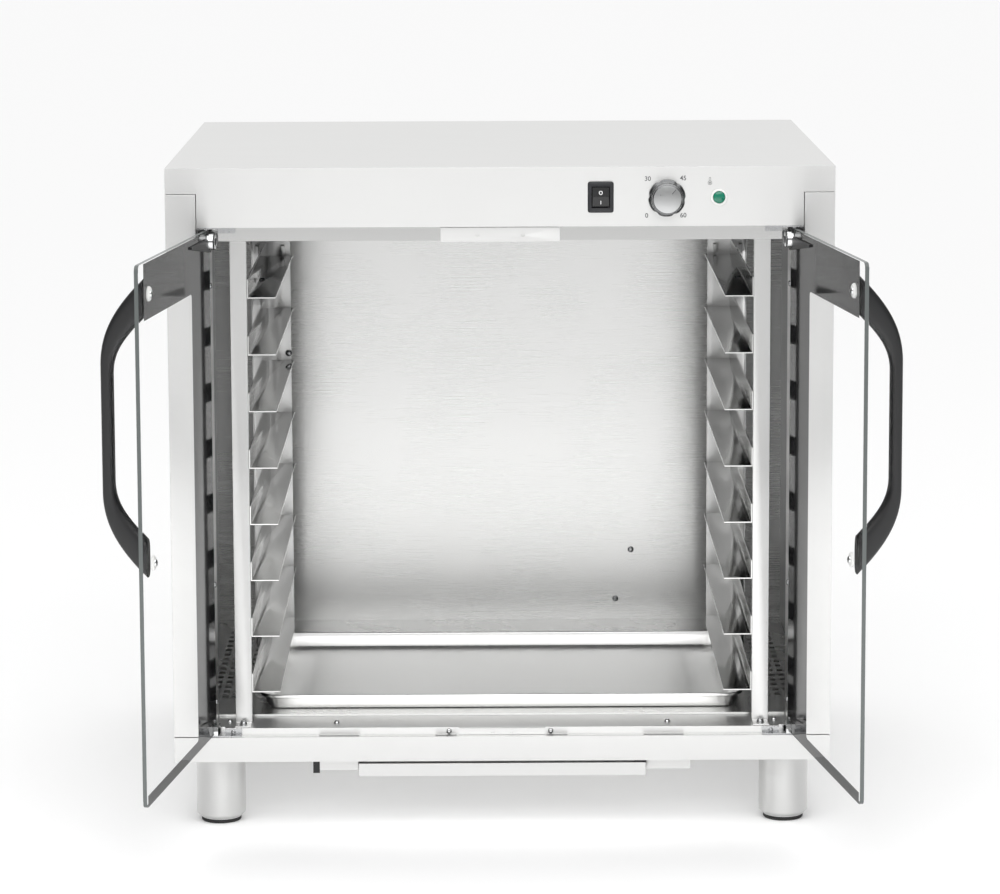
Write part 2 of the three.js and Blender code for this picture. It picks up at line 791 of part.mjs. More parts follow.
// Catch plates in the middle of the header rail and of the sill, each with two holes.
function catches() {
  const back = stopDepth - gap;
  const front = back - catchThickness;
  const drillEnd = front + catchThickness / 2;
  const plate = (name, width, bottom, top, holes) => {
    const middle = (bottom + top) / 2;
    const drills = [-1, 1].map((side) =>
      bar("y", [middle, (side * holes) / 2], catchHoleRadius, front - overrun, drillEnd),
    );
    const whole = block([-width / 2, front, bottom], [width / 2, back, top]);
    place(name, cut(whole, ...drills), "polished");
  };
  const topCatchTop = openingTop - gap - gauge;
  plate("top_catch", topCatchWidth, topCatchTop - topCatchHeight, topCatchTop, topCatchHoles);
  const foot = baseHeight + gap;
  plate("bottom_catch", bottomCatchWidth, foot, foot + bottomCatchHeight, bottomCatchHoles);
}

// Rocker switch: a bezel with its body behind the fascia, and the rocker in it, off side pressed.
function rockerSwitch() {
  const front = -gap - bezelThickness;
  const cavityHalf = rockerRadius + gap;
  const body = join(
    block(
      [switchX - bezelWidth / 2, front, switchZ - bezelHeight / 2],
      [switchX + bezelWidth / 2, -gap, switchZ + bezelHeight / 2],
    ),
    block(
      [switchX - switchHoleWidth / 2 + gap, front, switchZ - switchHoleHeight / 2 + gap],
      [switchX + switchHoleWidth / 2 - gap, switchBodyDepth, switchZ + switchHoleHeight / 2 - gap],
    ),
  );
  const cavity = block(
    [switchX - rockerWidth / 2 - gap, front - overrun, switchZ - cavityHalf],
    [switchX + rockerWidth / 2 + gap, cavityHalf, switchZ + cavityHalf],
  );
  place("switch_bezel", cut(body, cavity), "black");
  const corner = Math.asin(rockerFront / rockerRadius);
  const heel = Math.asin(rockerBack / rockerRadius);
  const end = (sign) =>
    Array.from({ length: cornerSteps + 1 }, (_, i) => {
      const angle = -corner + ((corner + heel) * i) / cornerSteps;
      return [rockerRadius * Math.sin(angle), sign * rockerRadius * Math.cos(angle)];
    });
  const outline = [[rockerDip - rockerFront, 0], ...end(1), ...end(-1).reverse()];
  const rocker = new THREE.Group();
  rocker.position.set(switchX, 0, switchZ);
  rocker.rotation.x = -rockerTilt;
  cabinet.add(rocker);
  place("switch_rocker", prism("x", outline, -rockerWidth / 2, rockerWidth / 2), "black", rocker);
}

// Thermostat behind the fascia with its shaft, and the knob on the shaft.
function thermostat() {
  const back = gauge + gap;
  const shaftEnd = knobHeight - knobWall - gap;
  const half = thermostatSize / 2;
  const housing = block(
    [dialX - half, back, dialZ - half],
    [dialX + half, back + thermostatDepth, dialZ + half],
  );
  const shaft = bar("y", [dialZ, dialX], shaftRadius, -shaftEnd, back + gauge);
  place("thermostat", join(housing, shaft), "element");
  const knob = turnedToFront(
    [
      [0, knobHeight],
      [knobFaceRadius - gauge, knobHeight],
      [knobFaceRadius, knobHeight - gauge],
      [knobGripRadius, knobFlange + gauge],
      [knobRadius, knobFlange],
      [knobRadius, knobPlay],
      [shaftRadius + gap, knobPlay],
      [shaftRadius + gap, knobHeight - knobWall],
      [0, knobHeight - knobWall],
    ].reverse(),
    dialX,
    0,
    dialZ,
  );
  place("thermostat_knob", knob, "knob");
}

// Indicator lamp: a domed lens in a thin bezel, its body through the fascia.
function indicatorLamp() {
  const lamp = turnedToFront(
    [
      [0, -lampBody],
      [lampRadius, -lampBody],
      [lampRadius, gap],
      [lampBezelRadius, gap],
      [lampBezelRadius, lampBezelHeight],
      [lampRadius, lampBezelHeight + gap],
      [lampRadius / 2, lampBezelHeight + lampDome - gap],
      [0, lampBezelHeight + lampDome],
    ],
    lampX,
    0,
    lampZ,
  );
  place("indicator_lamp", lamp, "lamp");
}

// Feet: steel sleeves with a bevelled end, a ring and a rubber pad.
function feet() {
  const profile = [
    [0, -footHeight],
    [padRadius, -footHeight],
    [footRingRadius, padHeight / 2 - footHeight],
    [footRingRadius, -footBevelTop - footBevel],
    [footRadius - footBevel, -footBevelTop - footBevel],
    [footRadius, -footBevelTop],
    [footRadius, -gap],
    [0, -gap],
  ];
  const places = [
    ["left_front_foot", -1, footInset],
    ["right_front_foot", 1, footInset],
    ["left_rear_foot", -1, bodyDepth - footInset],
    ["right_rear_foot", 1, bodyDepth - footInset],
  ];
  for (const [name, side, y] of places)
    place(name, solid(turned(profile).translate(side * footX, y, 0)), "brushed");
}

// Drip tray: a trough behind a front plate, with a rim on each side that slides on the rail.
function dripTray() {
  const plateHalf = dripPlateWidth / 2;
  const plateBack = dripPlateFront + dripGauge;
  const rimOuter = dripTroughHalf + dripRimWidth;
  const floor = -dripDepthUnder;
  const trough = cut(
    block([-dripTroughHalf, dripPlateFront, floor], [dripTroughHalf, dripTroughBack, -dripRimDrop]),
    block(
      [dripGauge - dripTroughHalf, plateBack, floor + dripGauge],
      [dripTroughHalf - dripGauge, dripTroughBack - dripGauge, overrun],
    ),
  );
  const rims = [-1, 1].map((side) =>
    block(
      [side * (dripTroughHalf - dripGauge), railFront + gauge + gap, -dripRimDrop - dripGauge],
      [side * rimOuter, dripTroughBack, -dripRimDrop],
    ),
  );
  const plate = block([-plateHalf, dripPlateFront, floor], [plateHalf, plateBack, -dripPlateTop]);
  place("drip_tray", join(trough, plate, ...rims), "brushed");
}

// Rail of the drip tray: an apron in two wings, a lip along each side of the tray, and a back.
function dripRail() {
  const inner = dripTroughHalf + dripRimWidth + gap;
  const lipTop = -dripRimDrop - dripGauge - gap;
  const top = -gap;
  const sides = [-1, 1].flatMap((side) => [
    block([side * inner, railFront, -railDrop], [side * railHalfWidth, railFront + gauge, top]),
    block([side * inner, railFront, -railDrop], [side * (inner + gauge), railBack, top]),
    block([side * (inner - railLip + gauge), railFront, -railDrop], [side * inner, railBack, lipTop]),
    block([side * inner, railFront, top - gauge], [side * (inner + flangeWidth), railBack, top]),
  ]);
  const back = block([-inner, railBack - gauge, -railDrop], [inner, railBack, top]);
  place("drip_tray_rail", join(back, ...sides), "brushed");
}

// Cable gland in the rear panel: a nut and a dome round an open bore, with its thread inside.
function cableGland() {
  const profile = [
    [glandBore, -glandNut],
    [glandRadius - gauge - gap, -glandNut],
    [glandRadius - gauge - gap, gap],
    [glandRadius, gap],
    [glandRadius, glandNut],
    [glandRadius - gauge, glandNut + gauge],
    [glandBore + gauge, glandLength],
    [glandBore, glandLength],
    [glandBore, -glandNut],
  ];
  const gland = turned(profile).rotateX(-Math.PI / 2).translate(glandX, bodyDepth, glandZ);
  place("cable_gland", solid(gland), "black");
}

// Heating element: a hairpin tube under the floor, on two clips that stand on the base.
function heatingElement() {
  const bend = heaterHalfSpan;
  const path = new THREE.CurvePath();
  const corner = (x) => new THREE.Vector3(x, heaterFront + bend, heaterHeight);
  path.add(new THREE.LineCurve3(new THREE.Vector3(-bend, heaterBack, heaterHeight), corner(-bend)));
  const turnPoints = Array.from({ length: roundSides / 2 + 1 }, (_, i) => {
    const angle = Math.PI * (1 + (2 * i) / roundSides);
    const [x, y] = [bend * Math.cos(angle), heaterFront + bend + bend * Math.sin(angle)];
    return new THREE.Vector3(x, y, heaterHeight);
  });
  path.add(new THREE.CatmullRomCurve3(turnPoints));
  path.add(new THREE.LineCurve3(corner(bend), new THREE.Vector3(bend, heaterBack, heaterHeight)));
  const section = new THREE.Shape().absarc(0, 0, heaterRadius, 0, 2 * Math.PI);
  const options = { steps: roundSides, curveSegments: cornerSteps, bevelEnabled: false, extrudePath: path };
  const tube = solid(new THREE.ExtrudeGeometry(section, options));
  const clips = [heaterFront + 2 * bend, heaterBack - heaterClip].flatMap((y) =>
    [-1, 1].map((side) =>
      block(
        [side * bend - heaterClip / 2, y - heaterClip / 2, gauge + gap],
        [side * bend + heaterClip / 2, y + heaterClip / 2, heaterHeight],
      ),
    ),
  );
  place("heating_element", join(tube, ...clips), "element");
}

topCover();
sidePanels();
rearPanel();
baseTray();
doorSill();
chamberCeiling();
chamberWalls();
floorPlate();
racks();
floorPan();
doors();
catches();
rockerSwitch();
thermostat();
indicatorLamp();
feet();
dripTray();
dripRail();
cableGland();
heatingElement();

// The origin is the middle of the bottom of the whole, doors open.
cabinet.updateMatrixWorld(true);
const reach = new THREE.Box3().setFromObject(cabinet, true);
const middle = reach.getCenter(new THREE.Vector3());
cabinet.position.set(-middle.x, -middle.y, -reach.min.z);

export default root;
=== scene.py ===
"""Looks of a proofing cabinet: a folded stainless body, frameless glass doors with bow handles,
tray racks, a baking pan, round feet, and a switch, a dial and a lamp on the fascia."""
import json
import math

import bmesh
import bpy
import numpy as np
from mathutils import Matrix, Vector


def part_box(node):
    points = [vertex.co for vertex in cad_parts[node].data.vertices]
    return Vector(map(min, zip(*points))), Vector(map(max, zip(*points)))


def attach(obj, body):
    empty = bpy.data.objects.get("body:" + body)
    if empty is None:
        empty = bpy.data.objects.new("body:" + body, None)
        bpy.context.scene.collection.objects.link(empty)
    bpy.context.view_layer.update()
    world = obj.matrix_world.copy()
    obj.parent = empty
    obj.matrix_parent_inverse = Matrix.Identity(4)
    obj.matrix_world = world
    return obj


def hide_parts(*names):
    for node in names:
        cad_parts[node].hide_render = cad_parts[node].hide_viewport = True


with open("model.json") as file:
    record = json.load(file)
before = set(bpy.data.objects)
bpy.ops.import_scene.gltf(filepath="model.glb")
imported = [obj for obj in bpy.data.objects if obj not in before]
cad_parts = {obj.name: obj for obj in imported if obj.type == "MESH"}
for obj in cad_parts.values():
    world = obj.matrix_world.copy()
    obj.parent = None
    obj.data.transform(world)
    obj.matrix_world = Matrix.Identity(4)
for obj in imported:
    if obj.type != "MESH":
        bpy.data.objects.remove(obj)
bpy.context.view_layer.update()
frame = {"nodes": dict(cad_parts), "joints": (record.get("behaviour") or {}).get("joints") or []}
scene = bpy.context.scene

MM = 0.001
SKIN = 0.05  # a printed layer stands this far off what carries it
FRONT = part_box("top_cover")[0].y / MM
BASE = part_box("base_tray")[0].z / MM
SIDES = {"left": -1, "right": 1}


def at(x, y, z):
    """A place in millimetres: x from the middle, y back from the body's front, z up from its base."""
    return np.array([x, FRONT + y, BASE + z], float)


# Camera at the photograph's viewing angle, for a picture 1000 pixels wide

PHOTO_WIDTH = 1000
FOCAL_PIXELS = 3782.867
SHIFT_PIXELS = -100
CAMERA_PLACE = at(-19.323, -4491.281, 1156.477)
CAMERA_YAW = 0.00412
CAMERA_PITCH = 0.14306
CAMERA_ROLL = -0.00388
SENSOR_WIDTH = 36
CLIP_END = 100  # metres, past the far edge of the floor


def photo_camera():
    """Forward turns by yaw about Z and dips by pitch; right and up are then turned by roll about it."""
    yaw, pitch, roll = CAMERA_YAW, CAMERA_PITCH, CAMERA_ROLL
    forward = Vector(
        (
            math.sin(yaw) * math.cos(pitch),
            math.cos(yaw) * math.cos(pitch),
            -math.sin(pitch),
        )
    )
    level = Vector((math.cos(yaw), -math.sin(yaw), 0))
    rise = level.cross(forward)
    right = level * math.cos(roll) + rise * math.sin(roll)
    up = rise * math.cos(roll) - level * math.sin(roll)
    data = bpy.data.cameras.new("photo_camera")
    data.sensor_width = SENSOR_WIDTH
    data.lens = FOCAL_PIXELS * data.sensor_width / PHOTO_WIDTH
    data.shift_y = SHIFT_PIXELS / PHOTO_WIDTH
    data.clip_end = CLIP_END
    camera = bpy.data.objects.new("photo_camera", data)
    turn = Matrix((right, up, -forward)).transposed().to_4x4()
    camera.matrix_world = Matrix.Translation(Vector(CAMERA_PLACE * MM)) @ turn
    scene.collection.objects.link(camera)
    scene.camera = camera


# Materials


def linear(colour):
    """An sRGB hex colour as linear red, green, blue and a full alpha."""
    parts = [int(colour[i : i + 2], 16) / 255 for i in (1, 3, 5)]
    return [c / 12.92 if c <= 0.04045 else ((c + 0.055) / 1.055) ** 2.4 for c in parts] + [1]


def add(tree, kind, inputs=None, **settings):
    """Adds a node with its settings, and sets or links each named input."""
    node = tree.nodes.new(kind)
    for name, value in settings.items():
        setattr(node, name, value)
    for key, value in (inputs or {}).items():
        if isinstance(value, bpy.types.NodeSocket):
            tree.links.new(value, node.inputs[key])
        else:
            node.inputs[key].default_value = value
    return node


def material(name, slot, inputs):
    """A named material on one Principled shader, for a slot of the record: (material, tree, shader)."""
    made = bpy.data.materials.new(name)
    made.use_nodes = True
    made["slot"] = slot
    tree = made.node_tree
    tree.nodes.clear()
    shader = add(tree, "ShaderNodeBsdfPrincipled", inputs)
    add(tree, "ShaderNodeOutputMaterial", {"Surface": shader.outputs[0]})
    return made, tree, shader


def smooth_step(tree, value, span, ends):
    """Carries a value over from one end to the other along an S curve while it crosses the span."""
    inputs = dict(zip(("From Min", "From Max", "To Min", "To Max"), span + ends), Value=value)
    return add(tree, "ShaderNodeMapRange", inputs, interpolation_type="SMOOTHSTEP").outputs[0]


def spread(tree, value, low, high):
    """Carries a 0 to 1 value over to the range from low to high."""
    inputs = {"Value": value, "To Min": low, "To Max": high}
    return add(tree, "ShaderNodeMapRange", inputs).outputs[0]


GRIT_LINE = 0.7  # mm between brush lines; real ones are about 0.1, too fine to show here
GRIT_LENGTH = 90  # mm
WIPE_SIZE = 110  # mm, the soft patches that polishing and wiping leave
GLOSS_SPREAD = 0.04  # how far the roughness of a brushed sheet strays each way
LINE_DEPTH = 0.01  # mm
LINE_SHARE = 0.02  # of that depth, which shows in the shading

# The brush direction for each kind of sheet: (weights of x, y, z along the lines, and across them,
# and the direction in which a reflection is drawn out, which is across the lines)
BRUSHED_LEVEL = ((1, 1, 0), (0, 0, 1), (0, 0.05, 1))
BRUSHED_UPRIGHT = ((0, 0, 1), (1, 1, 0), (1, 0.05, 0))
BRUSHED_DEEP = ((0, 1, 0), (1, 0, 1), (1, 0, 0.05))
BRUSHED_ROOF = ((1, 0, 0), (0, 1, 1), (0, 0.05, 1))


def brushed_steel(name, slot, colour, brush, roughness, drawn=0.75):
    """Stainless sheet, ground with a belt. Its lines draw each reflection out across them, so walls
    show soft bands and never a sharp image. Lines are noise, long one way and short the other."""
    made, tree, shader = material(
        name, slot, {"Metallic": 1.0, "Anisotropic": drawn, "Base Color": linear(colour)}
    )
    along, across, draw = brush
    place = add(tree, "ShaderNodeTexCoord").outputs["Object"]
    sums = [
        add(
            tree,
            "ShaderNodeVectorMath",
            {0: place, 1: [w / (size * MM) for w in weights]},
            operation="DOT_PRODUCT",
        ).outputs["Value"]
        for weights, size in ((along, GRIT_LENGTH), (across, GRIT_LINE))
    ]
    line_place = add(tree, "ShaderNodeCombineXYZ", {"X": sums[0], "Y": sums[1]}).outputs[0]
    lines = add(
        tree, "ShaderNodeTexNoise", {"Vector": line_place, "Scale": 1.0, "Detail": 3.0}
    ).outputs["Fac"]
    wipes = add(
        tree, "ShaderNodeTexNoise", {"Vector": place, "Scale": 1 / (WIPE_SIZE * MM), "Detail": 2.0}
    ).outputs["Fac"]
    both = add(tree, "ShaderNodeMath", {0: lines, 1: wipes}, operation="ADD").outputs[0]
    half = add(tree, "ShaderNodeMath", {0: both, 1: 0.5}, operation="MULTIPLY").outputs[0]
    rough = spread(tree, half, roughness - GLOSS_SPREAD, roughness + GLOSS_SPREAD)
    tree.links.new(rough, shader.inputs["Roughness"])
    depth = {"Height": lines, "Strength": LINE_SHARE, "Distance": LINE_DEPTH * MM}
    tree.links.new(add(tree, "ShaderNodeBump", depth).outputs[0], shader.inputs["Normal"])
    drawn_out = add(tree, "ShaderNodeCombineXYZ", {"X": draw[0], "Y": draw[1], "Z": draw[2]})
    tree.links.new(drawn_out.outputs[0], shader.inputs["Tangent"])
    return made


MARK_SIZE = 4  # mm, the wipe marks on bright metal
MARK_SHARES = (0.7, 1.4)  # of its roughness, at the least and at the most


def bright_metal(name, slot, colour, roughness):
    """Polished or plated metal: a clear image with faint wipe marks in its gloss."""
    made, tree, shader = material(name, slot, {"Metallic": 1.0, "Base Color": linear(colour)})
    place = add(tree, "ShaderNodeTexCoord").outputs["Object"]
    size = {"Vector": place, "Scale": 1 / (MARK_SIZE * MM), "Detail": 4.0}
    marks = add(tree, "ShaderNodeTexNoise", size)
    rough = spread(tree, marks.outputs["Fac"], *(roughness * share for share in MARK_SHARES))
    tree.links.new(rough, shader.inputs["Roughness"])
    return made


GRAIN_SPREAD = 0.08  # how far the roughness of moulded plastic strays each way
GRAIN_SHARE = 0.4  # of the grain's depth, which shows in the shading
CLEAR_ROUGHNESS = 0.05


def moulded_plastic(name, slot, colour, roughness, grain=0.6, depth=0.03, clear=0.0, index=1.5):
    """Injection-moulded plastic: one colour right through, a fine spark-eroded grain on its skin. The
    grain's size and depth are in millimetres, and clear is the weight of a clear coat."""
    made, tree, shader = material(
        name,
        slot,
        {
            "Base Color": linear(colour),
            "IOR": index,
            "Coat Weight": clear,
            "Coat Roughness": CLEAR_ROUGHNESS,
        },
    )
    place = add(tree, "ShaderNodeTexCoord").outputs["Object"]
    skin = add(tree, "ShaderNodeTexNoise", {"Vector": place, "Scale": 1 / (grain * MM), "Detail": 2.0})
    rough = spread(tree, skin.outputs["Fac"], roughness - GRAIN_SPREAD, roughness + GRAIN_SPREAD)
    tree.links.new(rough, shader.inputs["Roughness"])
    grit = {"Height": skin.outputs["Fac"], "Strength": GRAIN_SHARE, "Distance": depth * MM}
    tree.links.new(add(tree, "ShaderNodeBump", grit).outputs[0], shader.inputs["Normal"])
    return made


WAVE_SIZE = 90  # mm, the slow waves that rollers leave in toughened glass
WAVE_DEPTH = 0.05  # mm
WAVE_SHARE = 0.2


def toughened_glass():
    """Toughened float glass, colourless through its face. Its index is set far under the real 1.52,
    which at these glancing angles would mirror the chamber, where the photograph shows clear panes."""
    made, tree, shader = material(
        "toughened_glass",
        "glass",
        {"Base Color": linear("#ffffff"), "Roughness": 0.0, "IOR": 1.01, "Transmission Weight": 1.0},
    )
    place = add(tree, "ShaderNodeTexCoord").outputs["Object"]
    size = {"Vector": place, "Scale": 1 / (WAVE_SIZE * MM), "Detail": 1.0}
    wave = add(tree, "ShaderNodeTexNoise", size)
    swing = {"Height": wave.outputs["Fac"], "Strength": WAVE_SHARE, "Distance": WAVE_DEPTH * MM}
    tree.links.new(add(tree, "ShaderNodeBump", swing).outputs[0], shader.inputs["Normal"])
    return made


# The roof, ground across its width: a soft pale plane that takes up the backdrop, though painted greyer
# than the fascia on the same sheet as painted shade
shaded_roof_steel = brushed_steel("brushed_stainless_roof_painted_shade", "brushed", "#c8c8c7", BRUSHED_ROOF, 0.32)
# Fascia, panels, base, sill and drip tray: wide soft bands that run level
level_steel = brushed_steel("brushed_stainless_level", "brushed", "#e2e2e1", BRUSHED_LEVEL, 0.32)
# Rack uprights, ground along their length: soft bands that run up and down
upright_steel = brushed_steel("brushed_stainless_upright", "brushed", "#e4e4e3", BRUSHED_UPRIGHT, 0.34)
# Ceiling and header rail: a little greyer and glossier than the body round them; the grey is painted
# shade for their place under the fascia's fold
shaded_header_steel = brushed_steel("brushed_stainless_header_painted_shade", "inside", "#c9c9c8", BRUSHED_LEVEL, 0.22, 0.6)
# Back wall and floor: light fades slowly up and down it, with faint level lines
wall_steel = brushed_steel("brushed_stainless_chamber", "inside", "#e2e2e1", BRUSHED_LEVEL, 0.27, 0.85)
# Side walls and the underside of the ceiling: dull, and painted dark as painted shade for the shade and
# dark reflections there, so the gap there is deep
painted_shade_steel = brushed_steel("painted_shade_side_steel", "inside", "#232526", BRUSHED_LEVEL, 0.3, 0.5)
# Runners: nearly a mirror, so each ledge shows its neighbours as sharp streaks
runner_steel = brushed_steel("bright_rolled_runner", "inside", "#d6d6d5", BRUSHED_DEEP, 0.09, 0.3)
# Baking pan: the palest metal here, with a soft sheen over its floor
pan_steel = brushed_steel("pressed_pan_steel", "polished", "#fafaf9", BRUSHED_LEVEL, 0.3, 0.5)
# Foot sleeves: satin, with pale middles and darker sides where the flags show
foot_steel = brushed_steel("spun_foot_steel", "brushed", "#dcdcdb", BRUSHED_LEVEL, 0.36, 0.9)
# Bottom clamps, boss caps, foot rings and bright screws: small sharp highlights
chrome = bright_metal("chrome_plate", "polished", "#dcdddd", 0.08)
# Pivots and common screws: greyer and duller than the chrome
zinc = bright_metal("zinc_plated_steel", "polished", "#b9babb", 0.25)
# The knob's skirt and grip: dark and light facets round its rim
knob_chrome = bright_metal("satin_chromed_knob", "knob", "#858687", 0.2)
# The disc in the knob's face: a pale plate inside the dark rim
knob_disc = bright_metal("spun_aluminium_disc", "knob", "#b9baba", 0.3)
# Heating element and thermostat: browned by heat and without gloss
heat_steel = bright_metal("heat_darkened_steel", "element", "#6a6864", 0.5)
# The door panes: clear, so what stands behind them shows unchanged
glass = toughened_glass()
# The border on the glass: deep black, and glossy enough to show the rack in it
print_enamel = moulded_plastic("black_ceramic_print", "black", "#1e1e1f", 0.08, 0.4, 0.0, index=1.3)
# The panes' edges: a grey-green line round the clear glass
ground_edge = moulded_plastic("ground_glass_edge", "glass", "#5f6463", 0.3, 0.3, 0.01)
# Handles, top clamps and rail stop: even black with a soft highlight
handle_black = moulded_plastic("black_nylon_handle", "black", "#1d1d1e", 0.38)
# The rocker and the screws' recesses: black with a small sharp highlight; on the screws the black is
# painted shade in the recess
gloss_black_and_recess_shade = moulded_plastic("switch_black_and_recess_shade", "black", "#0c0c0e", 0.16, 0.8, 0.004)
# The switch's frame, the gland and boss screws: a little greyer than the rocker
frame_black = moulded_plastic("satin_black_bezel", "black", "#1f2024", 0.4)
# Foot pads: matt black, with hardly a highlight
rubber = moulded_plastic("black_rubber_pad", "black", "#232323", 0.7, 1.2, 0.06)
# Washers on the glass and the lamp's bezel: plain white
white_nylon = moulded_plastic("white_nylon_cap", "lamp", "#f1f1ef", 0.3)
# Figures and signs on the fascia, and the pointer: flat dark grey
print_ink = moulded_plastic("grey_pad_print", "black", "#5a5a5c", 0.6)
# The switch's marks: flat white on its black
white_ink = moulded_plastic("white_pad_print", "black", "#e9e9ea", 0.5)
# The lamp's lens: deep green under a clear skin that catches a highlight
green_lens = moulded_plastic("green_acrylic_lens", "lamp", "#0a7c60", 0.14, 0.9, 0.01, 0.5)


# Shapes

UPRIGHT_SHARE = 0.9  # a direction with more of z than this counts as upright
WELD = 0.002  # mm, points nearer than this are one
FLAT_ANGLE = math.radians(0.5)
FOLD_ANGLE = math.radians(30)
FOLD_STEPS = 3


def closed_skin(rings):
    """Rings of points (ring, place, xyz) joined by quads between neighbours, and each end closed by
    triangles to the middle of its ring."""
    rings = np.asarray(rings, float)
    count, around = rings.shape[:2]
    start = np.arange(count - 1)[:, None] * around
    here = np.arange(around)[None, :]
    after = (here + 1) % around
    corners = (start + here, start + after, start + around + after, start + around + here)
    quads = np.stack(corners, -1).reshape(-1, 4)
    middle = np.full(around, count * around)
    last = (count - 1) * around
    first_fan = np.stack([after[0], here[0], middle], -1)
    last_fan = np.stack([last + here[0], last + after[0], middle + 1], -1)
    points = np.vstack([rings.reshape(-1, 3), rings[0].mean(0), rings[-1].mean(0)])
    return points, quads.tolist() + first_fan.tolist() + last_fan.tolist()


def ring_skin(rings):
    """Rings of points (ring, place, xyz) joined by quads, the last ring to the first one too."""
    rings = np.asarray(rings, float)
    count, around = rings.shape[:2]
    row = np.arange(count)[:, None]
    here = np.arange(around)[None, :]
    next_row, after = (row + 1) % count, (here + 1) % around
    corners = (
        row * around + here,
        row * around + after,
        next_row * around + after,
        next_row * around + here,
    )
    return rings.reshape(-1, 3), np.stack(corners, -1).reshape(-1, 4).tolist()


def square_to(axis):
    """Two directions square to an axis and to each other."""
    along = np.array(axis, float)
    upright = abs(along[2]) > UPRIGHT_SHARE
    across = np.cross(along, [1, 0, 0] if upright else [0, 0, 1])
    return across, np.cross(along, across)


def turned(profile, centre, axis, sides=72, swell=None):
    """Rings of a turned form: centre + radius (u cos a + v sin a) + height along the axis, where each
    (radius, height) of the profile gives one ring. Swell gives a factor on the radius from the angle
    and the height."""
    radius, height = np.array(profile, float).T
    along = np.array(axis, float)
    across, third = square_to(along)
    angle = np.linspace(0, 2 * math.pi, sides, endpoint=False)
    circle = np.cos(angle)[:, None] * across + np.sin(angle)[:, None] * third
    spoke = radius[:, None] * np.ones(sides)
    if swell is not None:
        spoke = spoke * swell(angle[None, :], height[:, None])
    return centre + spoke[..., None] * circle[None] + height[:, None, None] * along


def slab(outline, step):
    """A flat plate: an outline of points and the same outline moved by a step, joined by quads."""
    outline = np.asarray(outline, float)
    count = len(outline)
    here = np.arange(count)
    after = (here + 1) % count
    walls = np.stack([here, after, after + count, here + count], -1)
    ends = [here[::-1].tolist(), (here + count).tolist()]
    return np.vstack([outline, outline + np.asarray(step, float)]), walls.tolist() + ends


def finished(name, mesh, finish, body, replaced=(), sharp=35):
    """An object at the origin with its material, soft normals up to the sharp angle, on its body."""
    mesh.materials.clear()
    mesh.materials.append(finish)
    mesh.shade_smooth()
    mesh.set_sharp_from_angle(angle=math.radians(sharp))
    made = bpy.data.objects.new(name, mesh)
    scene.collection.objects.link(made)
    if replaced:
        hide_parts(*replaced)
    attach(made, body)
    return made


def piece(name, skin, finish, body, replaced=(), sharp=35):
    """A new object from points in millimetres and faces, which are turned to point outwards."""
    points, faces = skin
    mesh = bpy.data.meshes.new(name)
    mesh.from_pydata((np.asarray(points) * MM).tolist(), [], faces)
    shell = bmesh.new()
    shell.from_mesh(mesh)
    if shell.calc_volume(signed=True) < 0:
        bmesh.ops.reverse_faces(shell, faces=shell.faces)
    shell.to_mesh(mesh)
    shell.free()
    return finished(name, mesh, finish, body, replaced, sharp)


def softened(node, finish, radius, body="cabinet", name=None):
    """A CAD node with rounded edges: its copy, with doubled points merged and flat facets joined, and a
    Bevel of the radius on each edge that turns by more than the fold angle."""
    mesh = frame["nodes"][node].data.copy()
    shell = bmesh.new()
    shell.from_mesh(mesh)
    bmesh.ops.remove_doubles(shell, verts=shell.verts, dist=WELD * MM)
    bmesh.ops.dissolve_limit(shell, angle_limit=FLAT_ANGLE, verts=shell.verts, edges=shell.edges)
    shell.to_mesh(mesh)
    shell.free()
    made = finished(name or f"{node}_folded", mesh, finish, body, [node])
    fold = made.modifiers.new("fold", "BEVEL")
    fold.width = radius * MM
    fold.segments = FOLD_STEPS
    fold.limit_method = "ANGLE"
    fold.angle_limit = FOLD_ANGLE
    fold.harden_normals = True
    return made


# Body sheets

# Rounding of the edges that show, in millimetres
FOLD = 0.6
THIN_FOLD = 0.45
SHEET_EDGE = 0.3
PIVOT_EDGE = 0.25
CLAMP_EDGE = 0.8
TOP_CLAMP_EDGE = 0.9
RUNNER_COUNT = 8
FACING = 0.5  # a face that looks more than this share along a direction faces it


def faces_along(piece, direction):
    """How far each face of a piece looks along a direction, from -1 to 1."""
    normals = np.empty(len(piece.data.polygons) * 3)
    piece.data.polygons.foreach_get("normal", normals)
    return normals.reshape(-1, 3) @ np.array(direction, float)


def second_finish(piece, finish, chosen):
    """Gives the chosen faces of a piece another finish than the rest."""
    piece.data.materials.append(finish)
    piece.data.polygons.foreach_set("material_index", chosen.astype(np.int32))


